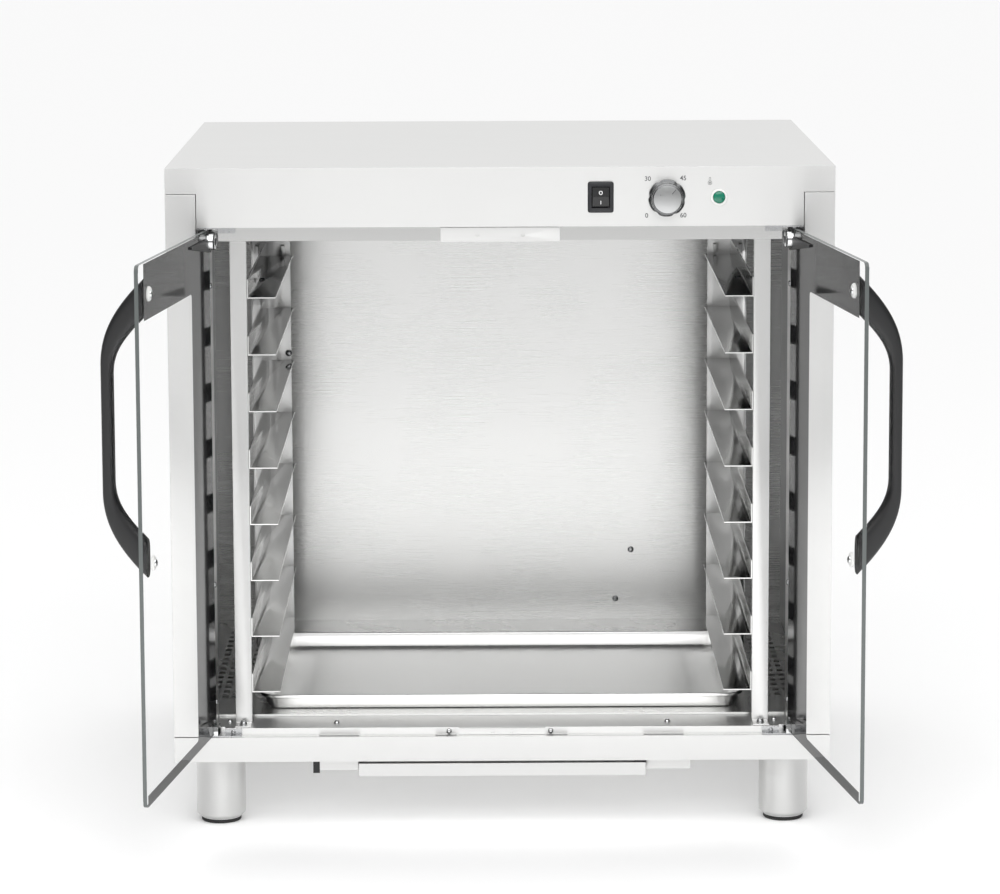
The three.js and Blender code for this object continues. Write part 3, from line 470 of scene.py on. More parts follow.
def body_sheets():
    """The folded sheets, racks, pivots and clamps, with their edges rounded. The chamber's
    walls and floor, the element and the thermostat keep their own mesh and take a finish."""
    cover = softened("top_cover", level_steel, FOLD)
    # The top faces take a greyer copy of the steel: painted shade.
    second_finish(cover, shaded_roof_steel, faces_along(cover, (0, 0, 1)) > FACING)
    for node in ("base_tray", "door_sill", "drip_tray_rail", "rear_panel"):
        softened(node, level_steel, THIN_FOLD)
    softened("drip_tray", level_steel, THIN_FOLD, "drip_tray_body")
    # The ceiling and header rail take a greyer steel: painted shade.
    ceiling = softened("chamber_ceiling", shaded_header_steel, THIN_FOLD)
    # The ceiling's underside takes the dark steel: painted shade.
    second_finish(ceiling, painted_shade_steel, faces_along(ceiling, (0, 0, -1)) > FACING)
    for side in SIDES:
        softened(f"{side}_side_panel", level_steel, FOLD)
        softened(f"{side}_front_upright", upright_steel, THIN_FOLD)
        softened(f"{side}_rear_upright", upright_steel, SHEET_EDGE)
        for level in range(1, RUNNER_COUNT + 1):
            softened(f"{side}_runner_{level}", runner_steel, SHEET_EDGE)
        for end in ("top", "bottom"):
            softened(f"{side}_{end}_pivot", zinc, PIVOT_EDGE)
        softened(f"{side}_bottom_clamp", chrome, CLAMP_EDGE, f"{side}_door")
        softened(f"{side}_top_clamp", handle_black, TOP_CLAMP_EDGE, f"{side}_door")
    for node in ("top_catch", "bottom_catch"):
        softened(node, level_steel, SHEET_EDGE)
    plain = {
        wall_steel: ("inner_back_wall", "floor_plate"),
        # The side walls take the dark steel: painted shade.
        painted_shade_steel: ("left_inner_wall", "right_inner_wall"),
        heat_steel: ("heating_element", "thermostat"),
    }
    for finish, nodes in plain.items():
        for node in nodes:
            frame["nodes"][node].data.materials.clear()
            frame["nodes"][node].data.materials.append(finish)


# Doors

GLASS_HALF = 2.5
HANDLE_ALONG = 306.0  # from the pivot
HANDLE_HEIGHT = 461.3


def on_door(side, along, out, height):
    """Places on an open door: along the glass from the pivot, out from the middle of the glass towards
    the chamber, and height over the base. The door is turned by its closing angle about its pivot."""
    joint = next(j for j in frame["joints"] if j["name"] == f"{side}_door_hinge")
    sign = SIDES[side]
    angle = sign * math.radians(joint["range_deg"][1])
    pivot = np.array(joint["pos_m"][:2]) / MM
    along, out, height = np.broadcast_arrays(*(np.asarray(v, float) for v in (along, out, height)))
    x, y = -sign * along, out
    turned_x = pivot[0] + x * math.cos(angle) - y * math.sin(angle)
    turned_y = pivot[1] + x * math.sin(angle) + y * math.cos(angle)
    return np.stack([turned_x, turned_y, height + BASE], -1)


def door_normal(side):
    """The direction from the glass of an open door towards the chamber side of the glass."""
    return on_door(side, 0, 1, 0) - on_door(side, 0, 0, 0)


HANDLE_REACH = 49.5
HANDLE_GRIP = 13.0
HANDLE_HALF = 170.0
HANDLE_FOOT = 44.0
HANDLE_STRAIGHT = 72.0
HANDLE_WIDTH = 20.0
HANDLE_TAPER_SHARE = 0.83
OUTER_BEND_SHARES = (0.44, 0.55, 0.71)
INNER_BEND_SHARES = (0.39, 0.67, 0.61)
HANDLE_STEPS = 40
HANDLE_ROUNDNESS = 3.4
HANDLE_SHARP = 60  # degrees
SEAT_GAP = 0.3


def half_bow(face, seat, straight, end, shares, steps):
    """One half of a bow outline, (out, height) from its seat to its middle: a cubic curve from the seat
    to the start of the straight, then the straight."""
    first, out, along = shares
    t = np.linspace(0, 1, steps)[:, None]
    corners = [
        (seat, end),
        (seat + out * (face - seat), straight + along * (end - straight)),
        (face, straight + first * (end - straight)),
        (face, straight),
    ]
    a, b, c, d = (np.array(p) for p in corners)
    curve = (1 - t) ** 3 * a + 3 * (1 - t) ** 2 * t * b + 3 * (1 - t) * t**2 * c + t**3 * d
    rest = np.stack([np.full(steps // 2, face), np.linspace(straight, 0, steps // 2 + 1)[1:]], -1)
    return np.vstack([curve, rest])


def bow_handle(side):
    """A bow whose section is a rounded rectangle, |u|^p + |v|^p = 1 where p is the roundness: u spans
    the grip from the inner outline to the outer one, v spans the width along the glass."""
    seat = -GLASS_HALF - SEAT_GAP
    face = seat - HANDLE_REACH
    outer = half_bow(face, seat, HANDLE_STRAIGHT, HANDLE_HALF, OUTER_BEND_SHARES, HANDLE_STEPS)
    inner = half_bow(
        face + HANDLE_GRIP,
        seat,
        HANDLE_STRAIGHT * HANDLE_TAPER_SHARE,
        HANDLE_HALF - HANDLE_FOOT,
        INNER_BEND_SHARES,
        HANDLE_STEPS,
    )
    flip = np.array([1, -1])
    outer = np.vstack([outer, outer[-2::-1] * flip])
    inner = np.vstack([inner, inner[-2::-1] * flip])
    angle = np.linspace(0, 2 * math.pi, HANDLE_STEPS, endpoint=False)
    power = 2 / HANDLE_ROUNDNESS
    u = np.sign(np.cos(angle)) * np.abs(np.cos(angle)) ** power
    v = np.sign(np.sin(angle)) * np.abs(np.sin(angle)) ** power
    middle, reach = (outer + inner) / 2, (outer - inner) / 2
    places = middle[:, None] + reach[:, None] * u[None, :, None]
    along = HANDLE_ALONG + HANDLE_WIDTH / 2 * np.broadcast_to(v, places.shape[:2])
    rings = on_door(side, along, places[..., 0], places[..., 1] + HANDLE_HEIGHT)
    piece(
        f"{side}_bow_handle",
        closed_skin(rings),
        handle_black,
        f"{side}_door",
        [f"{side}_door_handle"],
        sharp=HANDLE_SHARP,
    )


PRINT_HINGE = -7.5  # the printed border, along the glass from the pivot
PRINT_BAND = 90.0
PRINT_FREE = 326.0
PRINT_END = 345.0
PRINT_TOP = 650.0
PRINT_TOP_EDGE = 586.0
PRINT_FOOT = 35.0
PRINT_FOOT_EDGE = 48.0
PRINT_NOTCH = 19.0
PRINT_CORNER = 6.0
PRINT_THICKNESS = 0.08


def rounded(start, corner, end, radius, steps=7):
    """Points of a corner rounded by a quadratic curve that leaves each leg at the radius."""
    start, corner, end = (np.array(p, float) for p in (start, corner, end))
    a = corner + (start - corner) / np.linalg.norm(start - corner) * radius
    b = corner + (end - corner) / np.linalg.norm(end - corner) * radius
    t = np.linspace(0, 1, steps)[:, None]
    return (1 - t) ** 2 * a + 2 * (1 - t) * t * corner + t**2 * b


def printed_border(side):
    """The fired-on border on the chamber side of the glass: a band down the hinge side, a deep band
    along the top and a narrow one along the bottom, round a clear window."""
    window_top = (PRINT_BAND, PRINT_TOP_EDGE)
    window_low = (PRINT_BAND, PRINT_FOOT_EDGE)
    inner_top = [(PRINT_FREE, PRINT_TOP_EDGE), window_top, window_low]
    inner_low = [window_top, window_low, (PRINT_END, PRINT_FOOT_EDGE)]
    outline = np.vstack(
        [
            [(PRINT_NOTCH, PRINT_TOP), (PRINT_FREE, PRINT_TOP), (PRINT_FREE, PRINT_TOP_EDGE)],
            rounded(*inner_top, PRINT_CORNER),
            rounded(*inner_low, PRINT_CORNER),
            [(PRINT_END, PRINT_FOOT_EDGE), (PRINT_END, PRINT_FOOT), (PRINT_NOTCH, PRINT_FOOT)],
            [(PRINT_HINGE, PRINT_FOOT + PRINT_NOTCH), (PRINT_HINGE, PRINT_TOP - PRINT_NOTCH)],
        ]
    )
    places = on_door(side, outline[:, 0], GLASS_HALF + SKIN, outline[:, 1])
    piece(
        f"{side}_printed_border",
        slab(places, door_normal(side) * PRINT_THICKNESS),
        print_enamel,
        f"{side}_door",
    )


SCREW_RADIUS = 3.6
SCREW_RISE = 2.0
SCREW_SIDES = 28
DOME_STEPS = 12
DOME_POWER = 2.4
DOME_MIDDLE_SHARE = 0.02
DOME_FOOT = 0.1
SLOT_ARM_SHARE = 0.62  # of the head's radius
SLOT_WIDTH_SHARE = 0.16
SLOT_LEVEL_SHARE = 0.93  # of the head's height
SLOT_DEPTH = 0.15


def cross_slot(radius):
    """The four-armed recess of a screw as an outline of (across, up)."""
    arm, width = radius * SLOT_ARM_SHARE, radius * SLOT_WIDTH_SHARE
    quarter = [(width, arm), (-width, arm), (-width, width)]
    turns = ((1, 0), (0, 1), (-1, 0), (0, -1))
    return [(x * c - y * s, x * s + y * c) for c, s in turns for x, y in quarter]


def screw(name, centre, axis, body, radius=SCREW_RADIUS, rise=SCREW_RISE, finish=None):
    """A pan-head screw: a dome of the radius whose height at a share s of the radius is its rise times
    the root of 1 - s^p, where p is the dome's power, with a black cross let into it as painted shade for
    its recess."""
    share = np.linspace(1, DOME_MIDDLE_SHARE, DOME_STEPS)
    height = rise * np.sqrt(np.maximum(1 - share**DOME_POWER, 0)) + DOME_FOOT
    profile = np.vstack([[(radius, 0.0)], np.stack([radius * share, height], -1)])
    piece(name, closed_skin(turned(profile, centre, axis, SCREW_SIDES)), finish or zinc, body)
    along = np.array(axis, float)
    across, third = square_to(along)
    level = along * (rise * SLOT_LEVEL_SHARE)
    places = [centre + (a * across + b * third) + level for a, b in cross_slot(radius)]
    # The cross is painted shade: black where the metal recess would lie in shade.
    piece(f"{name}_cross", slab(places, along * SLOT_DEPTH), gloss_black_and_recess_shade, body)


CAP_HEIGHTS = (614.4, 308.2)
CAP_RADIUS = 8.6
CAP_RISE = 3.6
CAP_PROFILE = [(CAP_RADIUS, 0.2), (CAP_RADIUS, 1.8), (CAP_RADIUS - 1.2, 3.2), (5.2, CAP_RISE)]
CAP_SCREW = (4.6, 2.2)  # radius and rise
ROUND_SIDES = 48


def handle_caps(side):
    """White washers and screws on the chamber side of the glass, one for each foot of the handle."""
    normal = door_normal(side)
    body = f"{side}_door"
    for place, height in zip(("upper", "lower"), CAP_HEIGHTS):
        seat = on_door(side, HANDLE_ALONG, GLASS_HALF, height)
        rings = turned(CAP_PROFILE, seat, normal, ROUND_SIDES)
        piece(f"{side}_{place}_cap", closed_skin(rings), white_nylon, body)
        screw(f"{side}_{place}_screw", seat + normal * CAP_RISE, normal, body, *CAP_SCREW, chrome)


BOSS_ALONG = 2.0
BOSS_HEIGHT = 638.0
BOSS_RADIUS = 10.0
BOSS_FACE = 12.0
BOSS_CAP = [
    (BOSS_RADIUS + 0.4, 3.0),
    (BOSS_RADIUS + 0.4, BOSS_FACE - 2),
    (BOSS_RADIUS - 0.4, BOSS_FACE - 0.4),
    (BOSS_RADIUS - 2, BOSS_FACE + 0.3),
    (BOSS_RADIUS / 2 + 0.4, BOSS_FACE + 0.4),
    (BOSS_RADIUS / 2, BOSS_FACE + 0.1),
]
BOSS_SCREW = [(4.4, BOSS_FACE), (4.4, BOSS_FACE + 0.5), (3.8, BOSS_FACE + 0.9), (0.4, BOSS_FACE + 0.9)]
BOSS_SCREW_SIDES = 24


def hinge_studs(side):
    """A chromed cap over the boss of the upper clamp, with a dark socket screw in its middle."""
    normal = door_normal(side)
    centre = on_door(side, BOSS_ALONG, 0, BOSS_HEIGHT)
    body = f"{side}_door"
    cap = turned(BOSS_CAP, centre, normal, ROUND_SIDES)
    piece(f"{side}_boss_cap", closed_skin(cap), chrome, body)
    stud = turned(BOSS_SCREW, centre, normal, BOSS_SCREW_SIDES)
    piece(f"{side}_boss_screw", closed_skin(stud), frame_black, body)


GLASS_EDGE = 0.5


def glass_pane(side):
    """The pane, whose faces across its thickness are clear and whose edges are ground."""
    pane = softened(f"{side}_door_glass", glass, GLASS_EDGE, f"{side}_door", f"{side}_glass_pane")
    second_finish(pane, ground_edge, np.abs(faces_along(pane, door_normal(side))) < FACING)


def doors():
    """Both doors, each with its pane, handle, printed border, washers and hinge caps."""
    for side in SIDES:
        glass_pane(side)
        bow_handle(side)
        printed_border(side)
        handle_caps(side)
        hinge_studs(side)


# Screws and clips of the body


BACK_SCREWS = ((180.0, 139.8), (159.1, 71.0))  # x and z on the chamber's back wall
BACK_SCREW_RADIUS = 4.2
BACK_WALL = 612
RACK_BOLT = (-278.5, 463, 436)
RACK_BOLT_SIZE = (4.5, 3.2)  # radius and rise
TO_FRONT = (0, -1, 0)
UPWARDS = (0, 0, 1)
# Screws on both sides: name, place of the right one, shift of both in x, direction, radius, rise and
# finish
SIDE_SCREWS = (
    ("runner_screw", (297.5, 210, 566), 0, UPWARDS, 4.0, SCREW_RISE, zinc),
    ("sill_screw", (334, 44, 39), 0, UPWARDS, 3.4, 3.4, chrome),
    ("sill_clip", (202.6, 36.5, 39), 0, UPWARDS, 3.6, 3.4, chrome),
    ("foot_bolt", (316.3, 28, 40.8), 0, UPWARDS, 4.6, 4.2, zinc),
    ("bracket_screw", (328, 11.2, 34.6), 0, TO_FRONT, 2.9, 1.6, zinc),
    ("catch_screw", (62, 13, 34.2), -2.7, TO_FRONT, 3.6, 3, chrome),
)
JAMB_SCREW = (350, 40)  # x and y
JAMB_SCREW_HEIGHTS = (580.0, 212.0, 66.0)


def body_screws():
    """The screws that show on the back wall, racks, sill, catches and jambs."""
    for i, (x, z) in enumerate(BACK_SCREWS):
        name = f"back_wall_screw_{i + 1}"
        screw(name, at(x, BACK_WALL, z), TO_FRONT, "cabinet", BACK_SCREW_RADIUS)
    screw("rack_bolt", at(*RACK_BOLT), TO_FRONT, "cabinet", *RACK_BOLT_SIZE)
    for side, sign in SIDES.items():
        for name, (x, y, z), shift, axis, radius, rise, finish in SIDE_SCREWS:
            place = at(sign * x + shift, y, z)
            screw(f"{side}_{name}", place, axis, "cabinet", radius, rise, finish)
        x, y = JAMB_SCREW
        for j, z in enumerate(JAMB_SCREW_HEIGHTS):
            screw(f"{side}_jamb_screw_{j + 1}", at(sign * x, y, z), (-sign, 0, 0), "cabinet")


# Baking pan

PAN_HALF_X = 300.0
PAN_HALF_Y = 180.0
PAN_CENTRE = at(0, 268, 42.3)


CORNER_STEPS = 12
QUADRANTS = ((1, 1), (-1, 1), (-1, -1), (1, -1))


def rounded_rectangle(half_x, half_y, radius, height):
    """A ring of points round a rectangle whose corners are quarter circles, at a height."""
    angle = np.linspace(0, math.pi / 2, CORNER_STEPS)
    rows = []
    for turn, (sx, sy) in zip(np.arange(4) * math.pi / 2, QUADRANTS):
        x = (half_x - radius) * sx + radius * np.cos(angle + turn)
        y = (half_y - radius) * sy + radius * np.sin(angle + turn)
        rows.append(np.stack([x, y, np.full_like(x, height)], -1))
    return np.vstack(rows)


# The pan's profile, as inset from the rim and height
PAN_UNDERSIDE = (40, 0)
PAN_WALL = [(6.6, 11.5), (4.1, 15.6)]
PAN_INSIDE = [(5.2, 14), (9, 5.2), (11.6, 2.2), (15, 1.1), (60, 1.0)]
PAN_FOOT_INSET = 11
PAN_FOOT_SIZE = (6, 3)  # how far the rounded foot reaches in and up
BEAD_RADIUS = 2.1
BEAD_HEIGHT = 17.7
PAN_CORNER = 24
PAN_LEAST_CORNER = 6


def pan_profile():
    """From the middle of the underside to the middle of the inside: a rounded foot, a flared wall, a
    rolled bead and the same wall back down."""
    reach, rise = PAN_FOOT_SIZE
    foot = [
        (PAN_FOOT_INSET + reach * (1 - math.sin(a)), rise * (1 - math.cos(a)))
        for a in np.linspace(0.1, 1.2, 5)
    ]
    angle = np.linspace(-0.6, math.pi + 0.35, 12)
    bead = [
        (BEAD_RADIUS - BEAD_RADIUS * math.cos(a), BEAD_HEIGHT + BEAD_RADIUS * math.sin(a))
        for a in angle
    ]
    return [PAN_UNDERSIDE, *foot, *PAN_WALL, *bead, *PAN_INSIDE]


def baking_pan():
    """The pan as rounded rectangles through its profile, each corner tighter by its inset."""
    rings = []
    for inset, height in pan_profile():
        corner = max(PAN_CORNER - inset, PAN_LEAST_CORNER)
        ring = rounded_rectangle(PAN_HALF_X - inset, PAN_HALF_Y - inset, corner, height)
        rings.append(ring + PAN_CENTRE)
    piece("baking_pan", closed_skin(rings), pan_steel, "pan", ["floor_pan"])


# Controls

SWITCH = at(120, 0, 689.7)
ROCKER_TILT = math.radians(6)
DIAL = at(199, 0, 688.3)
LAMP = at(261.3, 0, 689)


CAPITAL_SHARE = 0.7  # the height of a figure to the size of its font
PRINT_SPREAD = 0.1  # how far each stroke is widened


def lettering(name, text, height, x, z):
    """Printed figures on the fascia: flat text made a mesh, laid from (x, y, 0) to (x, 0, y)."""
    curve = bpy.data.curves.new(name, "FONT")
    curve.body = text
    curve.align_x = "CENTER"
    curve.align_y = "CENTER"
    curve.size = height / CAPITAL_SHARE
    curve.offset = PRINT_SPREAD
    curve.extrude = SKIN / 2
    words = bpy.data.objects.new(name, curve)
    scene.collection.objects.link(words)
    bpy.context.view_layer.update()
    mesh = bpy.data.meshes.new_from_object(words)
    bpy.data.objects.remove(words)
    lay = Matrix(((1, 0, 0, x), (0, 0, -1, FRONT - SKIN), (0, 1, 0, z + BASE), (0, 0, 0, 1)))
    mesh.transform(lay)
    mesh.transform(Matrix.Scale(MM, 4))
    finished(name, mesh, print_ink, "cabinet")


# Each figure round the dial and its place, as x and z from the dial's middle
FIGURE_HEIGHT = 5.4
DIAL_FIGURES = {"0": (-24.2, -21.2), "30": (-22.9, 22.9), "45": (19.4, 23.5), "60": (19.6, -21.0)}


def flat_ring(centre, outer, inner, sides=40):
    """A thin printed ring that faces the front."""
    profile = [(outer, SKIN), (outer, 2 * SKIN), (inner, 2 * SKIN), (inner, SKIN)]
    return ring_skin(turned(profile, centre, TO_FRONT, sides))


THERMOMETER = at(250.3, 0, 706.2)
BULB_RING = (2.5, 2.0)  # outer and inner radius
BULB_DOT = 1.0
STEM_TOP = 5.6
STEM_RADII = (1.15, 0.7)  # outer and inner
STEM_FEET = (2.2, 2.4)  # where the outer and the inner line end
DOT_SIDES = 24


def fascia_print():
    """The figures round the dial and a thermometer sign over the lamp."""
    for text, (x, z) in DIAL_FIGURES.items():
        name = f"dial_figure_{text}"
        lettering(name, text, FIGURE_HEIGHT, DIAL[0] + x, DIAL[2] - BASE + z)
    piece("thermometer_bulb", flat_ring(THERMOMETER, *BULB_RING), print_ink, "cabinet")
    dot = turned([(BULB_DOT, SKIN), (BULB_DOT, 2 * SKIN)], THERMOMETER, TO_FRONT, DOT_SIDES)
    piece("thermometer_dot", closed_skin(dot), print_ink, "cabinet")
    angle = np.linspace(0, math.pi, 9)
    (outer, inner), (outer_foot, inner_foot) = STEM_RADII, STEM_FEET
    outside = [(outer * math.cos(a), STEM_TOP + outer * math.sin(a)) for a in angle]
    inside = [(inner * math.cos(a), STEM_TOP + inner * math.sin(a)) for a in angle[::-1]]
    feet_out = (outer, outer_foot), (-outer, outer_foot)
    feet_in = (-inner, inner_foot), (inner, inner_foot)
    arch = [feet_out[0], *outside, feet_out[1], feet_in[0], *inside, feet_in[1]]
    places = [THERMOMETER + np.array([x, -SKIN, z]) for x, z in arch]
    piece("thermometer_stem", slab(places, (0, -SKIN, 0)), print_ink, "cabinet")


ROCKER_SLOPE = math.atan2(1.6, 11.3)  # of each half of the rocker to its line between the ends
ROCKER_DEPTH = 2.4  # how far its middle stands before the fascia
OFF_HEIGHT = 5.0  # the marks' places up and down the rocker
ON_HEIGHT = -6.6
OFF_RING = (2.4, 1.4)  # outer and inner radius
OFF_SIDES = 36
ON_BAR = (0.42, 2.2)  # half its width and height
MARK_LIFT = 0.05
MARK_DEPTH = 0.07


def rocker_seat(z):
    """A place on the rocker's middle line and the directions out of it and up it there. The rocker
    leans by its tilt about its axle, with its upper end pressed in."""
    depth = -ROCKER_DEPTH - abs(z) * math.tan(ROCKER_SLOPE)
    tilt = -ROCKER_TILT
    y = depth * math.cos(tilt) - z * math.sin(tilt)
    up = depth * math.sin(tilt) + z * math.cos(tilt)
    lean = tilt + math.copysign(ROCKER_SLOPE, z)
    outwards = np.array([0, -math.cos(lean), -math.sin(lean)])
    upwards = np.array([0, -math.sin(lean), math.cos(lean)])
    return SWITCH + np.array([0, y, up]), outwards, upwards


def rocker_marks():
    """A ring for off on the upper half of the rocker and a bar for on below it."""
    seat, outwards, _ = rocker_seat(OFF_HEIGHT)
    outer, inner = OFF_RING
    low, high = MARK_LIFT, MARK_LIFT + MARK_DEPTH
    profile = [(outer, low), (outer, high), (inner, high), (inner, low)]
    ring = turned(profile, seat, outwards, OFF_SIDES)
    piece("switch_off_mark", ring_skin(ring), white_ink, "rocker")
    seat, outwards, upwards = rocker_seat(ON_HEIGHT)
    across = np.array([1, 0, 0])
    width, height = ON_BAR
    corners = [(-width, -height), (width, -height), (width, height), (-width, height)]
    places = [seat + across * a + upwards * b + outwards * MARK_LIFT for a, b in corners]
    piece("switch_on_mark", slab(places, outwards * MARK_DEPTH), white_ink, "rocker")


KNOB_DENTS = 6
DENT_TURN = 0.6  # radians
DENT_POWER = 3
DENT_SHARE = 0.06  # of the radius
DENT_FADE = (9, 4)  # the height at which the dents have faded out, and over how much
SKIRT = [(22.3, 0.7), (22.4, 1.4), (22.3, 2.6), (21.6, 3.6), (20.2, 4.6), (19.2, 6.0), (18.7, 9.0)]
CROWN = [(18.3, 15.6), (18.0, 17.2), (17.6, 17.9), (17.1, 18.0), (16.7, 17.6), (16.6, 17.3), (1.0, 17.3)]
DISC = [(16.5, 17.32), (16.5, 17.5), (16.2, 17.62), (1.0, 17.62)]
KNOB_SIDES = 120
DISC_SIDES = 96
KNOB_SHARP = 50  # degrees
POINTER_ANGLE = math.radians(49)
POINTER_SPAN = (8.3, 15.2)  # from the knob's axis
POINTER_HALF_WIDTH = 0.45
POINTER_FACE = 17.66
POINTER_DEPTH = 0.1


def knob_swell(angle, height):
    """The skirt is dented where the cosine of six times the angle peaks, and smooth over the grip."""
    dent = np.clip(np.cos(KNOB_DENTS * angle + DENT_TURN), 0, 1) ** DENT_POWER
    top, fade = DENT_FADE
    return 1 - DENT_SHARE * dent * np.clip((top - height) / fade, 0, 1)


def knob():
    """A chromed knob with a dented skirt, a raised rim and a spun disc let into its face."""
    rings = turned(SKIRT + CROWN, DIAL, TO_FRONT, KNOB_SIDES, knob_swell)
    stands_for = ["thermostat_knob"]
    piece("dial_knob", closed_skin(rings), knob_chrome, "knob", stands_for, sharp=KNOB_SHARP)
    disc = turned(DISC, DIAL, TO_FRONT, DISC_SIDES)
    piece("dial_disc", closed_skin(disc), knob_disc, "knob")
    along = np.array([math.cos(POINTER_ANGLE), 0, math.sin(POINTER_ANGLE)])
    across = np.array([-math.sin(POINTER_ANGLE), 0, math.cos(POINTER_ANGLE)])
    near, far = POINTER_SPAN
    half = POINTER_HALF_WIDTH
    corners = [(near, -half), (far, -half), (far, half), (near, half)]
    face = np.array([0, -POINTER_FACE, 0])
    places = [DIAL + along * a + across * b + face for a, b in corners]
    piece("dial_pointer", slab(places, (0, -POINTER_DEPTH, 0)), print_ink, "knob")


LAMP_BEZEL = [(10.2, 0.3), (10.2, 0.9), (9.7, 1.6), (8.0, 1.9), (7.5, 1.6), (7.5, 0.3)]
LAMP_SIDES = 64
LENS_RADIUS = 7.3
LENS_FOOT = -8.0
LENS_SHOULDER = 1.4
LENS_RISE = 2.6
LENS_STEPS = 14
LENS_MIDDLE_SHARE = 0.03


def lamp():
    """A round lamp: a domed green lens in a plain white bezel."""
    bezel = turned(LAMP_BEZEL, LAMP, TO_FRONT, LAMP_SIDES)
    piece("lamp_bezel", ring_skin(bezel), white_nylon, "cabinet")
    share = np.linspace(1, LENS_MIDDLE_SHARE, LENS_STEPS)
    dome = np.stack([LENS_RADIUS * share, LENS_SHOULDER + LENS_RISE * np.sqrt(1 - share**2)], -1)
    lens = turned(np.vstack([[(LENS_RADIUS, LENS_FOOT)], dome]), LAMP, TO_FRONT, LAMP_SIDES)
    piece("lamp_lens", closed_skin(lens), green_lens, "cabinet", ["indicator_lamp"])


BEZEL_HALF_X = 15.5
BEZEL_HALF_Z = 18.7
BEZEL_CORNER = 3.2
BEZEL_LEAST_CORNER = 0.6
BEZEL_SQUEEZE_SHARE = 1.3  # the inset up and down to the inset across
# Inset from the rim and distance before the fascia
BEZEL_PROFILE = [(0, 0.3), (0, 1.2), (0.25, 1.8), (0.9, 2.4), (4.6, 2.5), (4.8, 2.2), (4.8, -9)]
ROCKER_EDGE = 0.5


def switch_bezel():
    """A moulded frame with round corners and a rounded front edge, open round the rocker."""
    rings = []
    for inset, out in BEZEL_PROFILE:
        half_x = BEZEL_HALF_X - inset
        half_z = BEZEL_HALF_Z - inset * BEZEL_SQUEEZE_SHARE
        corner = max(BEZEL_CORNER - inset, BEZEL_LEAST_CORNER)
        flat = rounded_rectangle(half_x, half_z, corner, 0)
        ring = np.stack([flat[:, 0], np.full(len(flat), -out), flat[:, 1]], -1)
        rings.append(SWITCH + ring)
    piece("switch_frame", ring_skin(rings), frame_black, "cabinet", ["switch_bezel"])


def controls():
    """The switch with its marks, the print on the fascia, the knob and the lamp."""
    switch_bezel()
    softened("switch_rocker", gloss_black_and_recess_shade, ROCKER_EDGE, "rocker")
    rocker_marks()
    fascia_print()
    knob()
    lamp()


# Feet and the back

FOOT_RADIUS = 30.1
FOOT_X = 346.4
FOOT_ROWS = (("front", 50.0), ("rear", 610.0))
FOOT_SIDES = 96
# Radius and height under the base of the sleeve, the ring and the pad
FOOT_SLEEVE = [
    (FOOT_RADIUS - 2, -0.3),
    (FOOT_RADIUS, -0.6),
    (FOOT_RADIUS, -73.0),
    (FOOT_RADIUS - 0.4, -74.0),
    (FOOT_RADIUS - 4.4, -78.0),
    (FOOT_RADIUS - 5.2, -78.4),
]
FOOT_RING = [(24.7, -78.3), (24.7, -79.1), (24.2, -79.4)]
FOOT_PAD = [(23.9, -79.3), (24.4, -80.0), (24.4, -82.8), (23.4, -84.0)]
FOOT_PARTS = (
    ("sleeve", FOOT_SLEEVE, foot_steel),
    ("ring", FOOT_RING, chrome),
    ("pad", FOOT_PAD, rubber),
)


def feet():
    """Turned steel sleeves with a bevelled end, a bright ring and a rubber pad that stands on the
    floor. The sleeve stands for the CAD's whole foot."""
    for side, sign in SIDES.items():
        for end, y in FOOT_ROWS:
            centre = at(sign * FOOT_X, y, 0)
            node = f"{side}_{end}_foot"
            for part, profile, finish in FOOT_PARTS:
                skin = closed_skin(turned(profile, centre, UPWARDS, FOOT_SIDES))
                stands_for = [node] if part == "sleeve" else ()
                piece(f"{node}_{part}", skin, finish, "cabinet", stands_for)


GLAND = at(310, 660, 72)


NUT_SPAN = (0.2, 7.9)  # the heights between which the gland is a nut
GLAND_PROFILE = [
    (4.6, -8), (9.0, -8), (9.0, 0.3), (10.8, 0.35), (10.9, 0.9), (10.9, 7.3), (10.2, 7.85),
    (9.2, 8.2), (9.2, 12.5), (8.6, 15.5), (7.2, 18.4), (5.8, 19.8), (4.9, 19.9), (4.6, 19.4),
]
GLAND_SIDES = 96


def hexagon(angle, height):
    """A radius factor that makes a circle a hexagon: cos 30 over the cosine from the nearest flat."""
    flat = np.mod(angle, math.pi / 3) - math.pi / 6
    nut = math.cos(math.pi / 6) / np.cos(flat)
    low, high = NUT_SPAN
    return np.where((height > low) & (height < high), nut, 1.0)


def cable_gland():
    """A hexagonal nut and a dome round an open bore, on the rear panel."""
    rings = turned(GLAND_PROFILE, GLAND, (0, 1, 0), GLAND_SIDES, hexagon)
    piece("cord_gland", ring_skin(rings), frame_black, "cabinet", ["cable_gland"])


RAIL_STOP = (at(-231.2, 17.2, -18.6), at(-223.2, 20.4, -0.8))  # its two far corners


def rail_stop():
    """A black end stop on the left end of the drip tray's rail."""
    low, high = RAIL_STOP
    corners = [(low[0], low[2]), (high[0], low[2]), (high[0], high[2]), (low[0], high[2])]
    places = [np.array([x, low[1], z]) for x, z in corners]
    piece("rail_end_stop", slab(places, (0, high[1] - low[1], 0)), handle_black, "cabinet")


# Floor and light

BACKDROP_STRENGTH = 1.0
ROOM_STRENGTH = 0.3
ZENITH_STRENGTH = 1.3
FLAG_SHARE = 0.15
FRONT_TO_BACK = (-0.3, 0.3)  # the y over which the room gives way to the backdrop
HORIZON_TO_ZENITH = (0.1, 0.75)  # the height over which a wall gives way to the ceiling
FLAG_SPAN = (0.5, 0.9)  # the size of x over which the flags set in
FLOOR_HALF = 40  # metres
FLOOR_PAINT = {"Base Color": linear("#f9f9f9"), "Roughness": 0.6, "Specular IOR Level": 0.0}
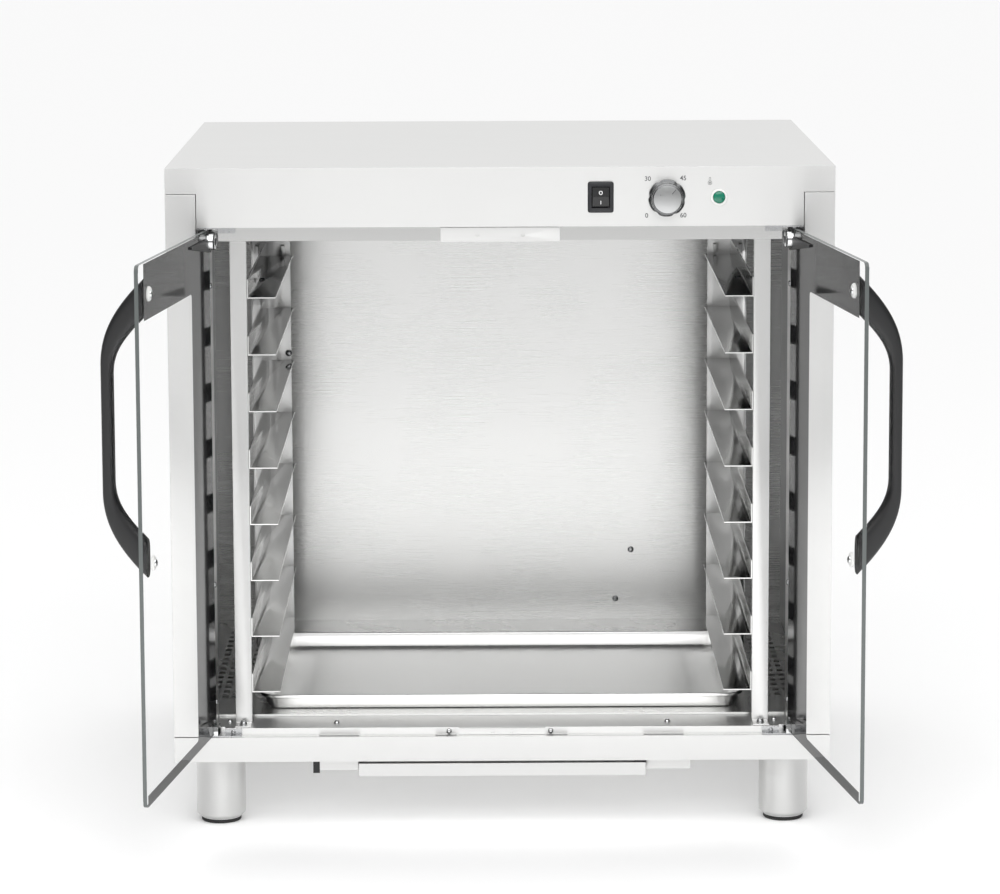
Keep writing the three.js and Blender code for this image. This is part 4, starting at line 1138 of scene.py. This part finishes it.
# Each soft box: its name, its place, the point that it faces, its size (all in metres) and its watts.
# The table box lights the floor before the cabinet, and the under box lifts the shadow below it to
# the pale one in the photograph.
SOFT_BOXES = (
    ("over_box", (0, -1.7, 2.6), (0, -1.65, 0), (3.2, 1.8), 24),
    ("table_box", (0, -1.7, 0.4), (0, -1.69, 0), (2.4, 2.0), 11),
    ("front_box", (0, -4.4, 2.9), (0, 0.3, 0.05), (3.0, 0.9), 16),
    ("under_box", (0, 0, 0.06), (0, 0.001, 0), (0.7, 0.5), 0.35),
)


def studio_world():
    """A white backdrop behind, a greyer room in front and a bright ceiling. The walls to the left and
    right are dark flags, which give round metal its edges. Each change is a smooth step: of the y and
    the height of a direction, and of the size of its x."""
    world = bpy.data.worlds.new("white_room")
    world.use_nodes = True
    tree = world.node_tree
    tree.nodes.clear()
    way = add(tree, "ShaderNodeTexCoord").outputs["Generated"]
    parts = add(tree, "ShaderNodeSeparateXYZ", {"Vector": way})
    aside = add(tree, "ShaderNodeMath", {0: parts.outputs["X"]}, operation="ABSOLUTE").outputs[0]
    level = smooth_step(
        tree, parts.outputs["Y"], FRONT_TO_BACK, (ROOM_STRENGTH, BACKDROP_STRENGTH)
    )
    rise = smooth_step(tree, parts.outputs["Z"], HORIZON_TO_ZENITH, (level, ZENITH_STRENGTH))
    flag = smooth_step(tree, aside, FLAG_SPAN, (1, FLAG_SHARE))
    strength = add(tree, "ShaderNodeMath", {0: rise, 1: flag}, operation="MULTIPLY").outputs[0]
    light = add(tree, "ShaderNodeBackground", {"Color": linear("#ffffff"), "Strength": strength})
    add(tree, "ShaderNodeOutputWorld", {"Surface": light.outputs[0]})
    scene.world = world


def studio():
    """A pale floor in the room, and soft boxes over the cabinet, before it and below it."""
    far = FLOOR_HALF
    points = [(-far, -far, 0), (far, -far, 0), (far, far, 0), (-far, far, 0)]
    mesh = bpy.data.meshes.new("studio_floor")
    mesh.from_pydata(points, [], [(0, 1, 2, 3)])
    mesh.materials.append(material("white_studio_floor", "brushed", FLOOR_PAINT)[0])
    floor = bpy.data.objects.new("studio_floor", mesh)
    scene.collection.objects.link(floor)
    studio_world()
    for name, place, aim, size, watts in SOFT_BOXES:
        light = bpy.data.lights.new(name, "AREA")
        light.shape = "RECTANGLE"
        light.size, light.size_y = size
        light.energy = watts
        box = bpy.data.objects.new(name, light)
        box.location = place
        box.rotation_euler = (Vector(aim) - box.location).to_track_quat("-Z", "Y").to_euler()
        scene.collection.objects.link(box)
    scene.view_settings.view_transform = "Standard"


def main():
    """The camera and the light, then each group of pieces."""
    photo_camera()
    studio()
    body_sheets()
    doors()
    body_screws()
    baking_pan()
    controls()
    feet()
    cable_gland()
    rail_stop()


main()
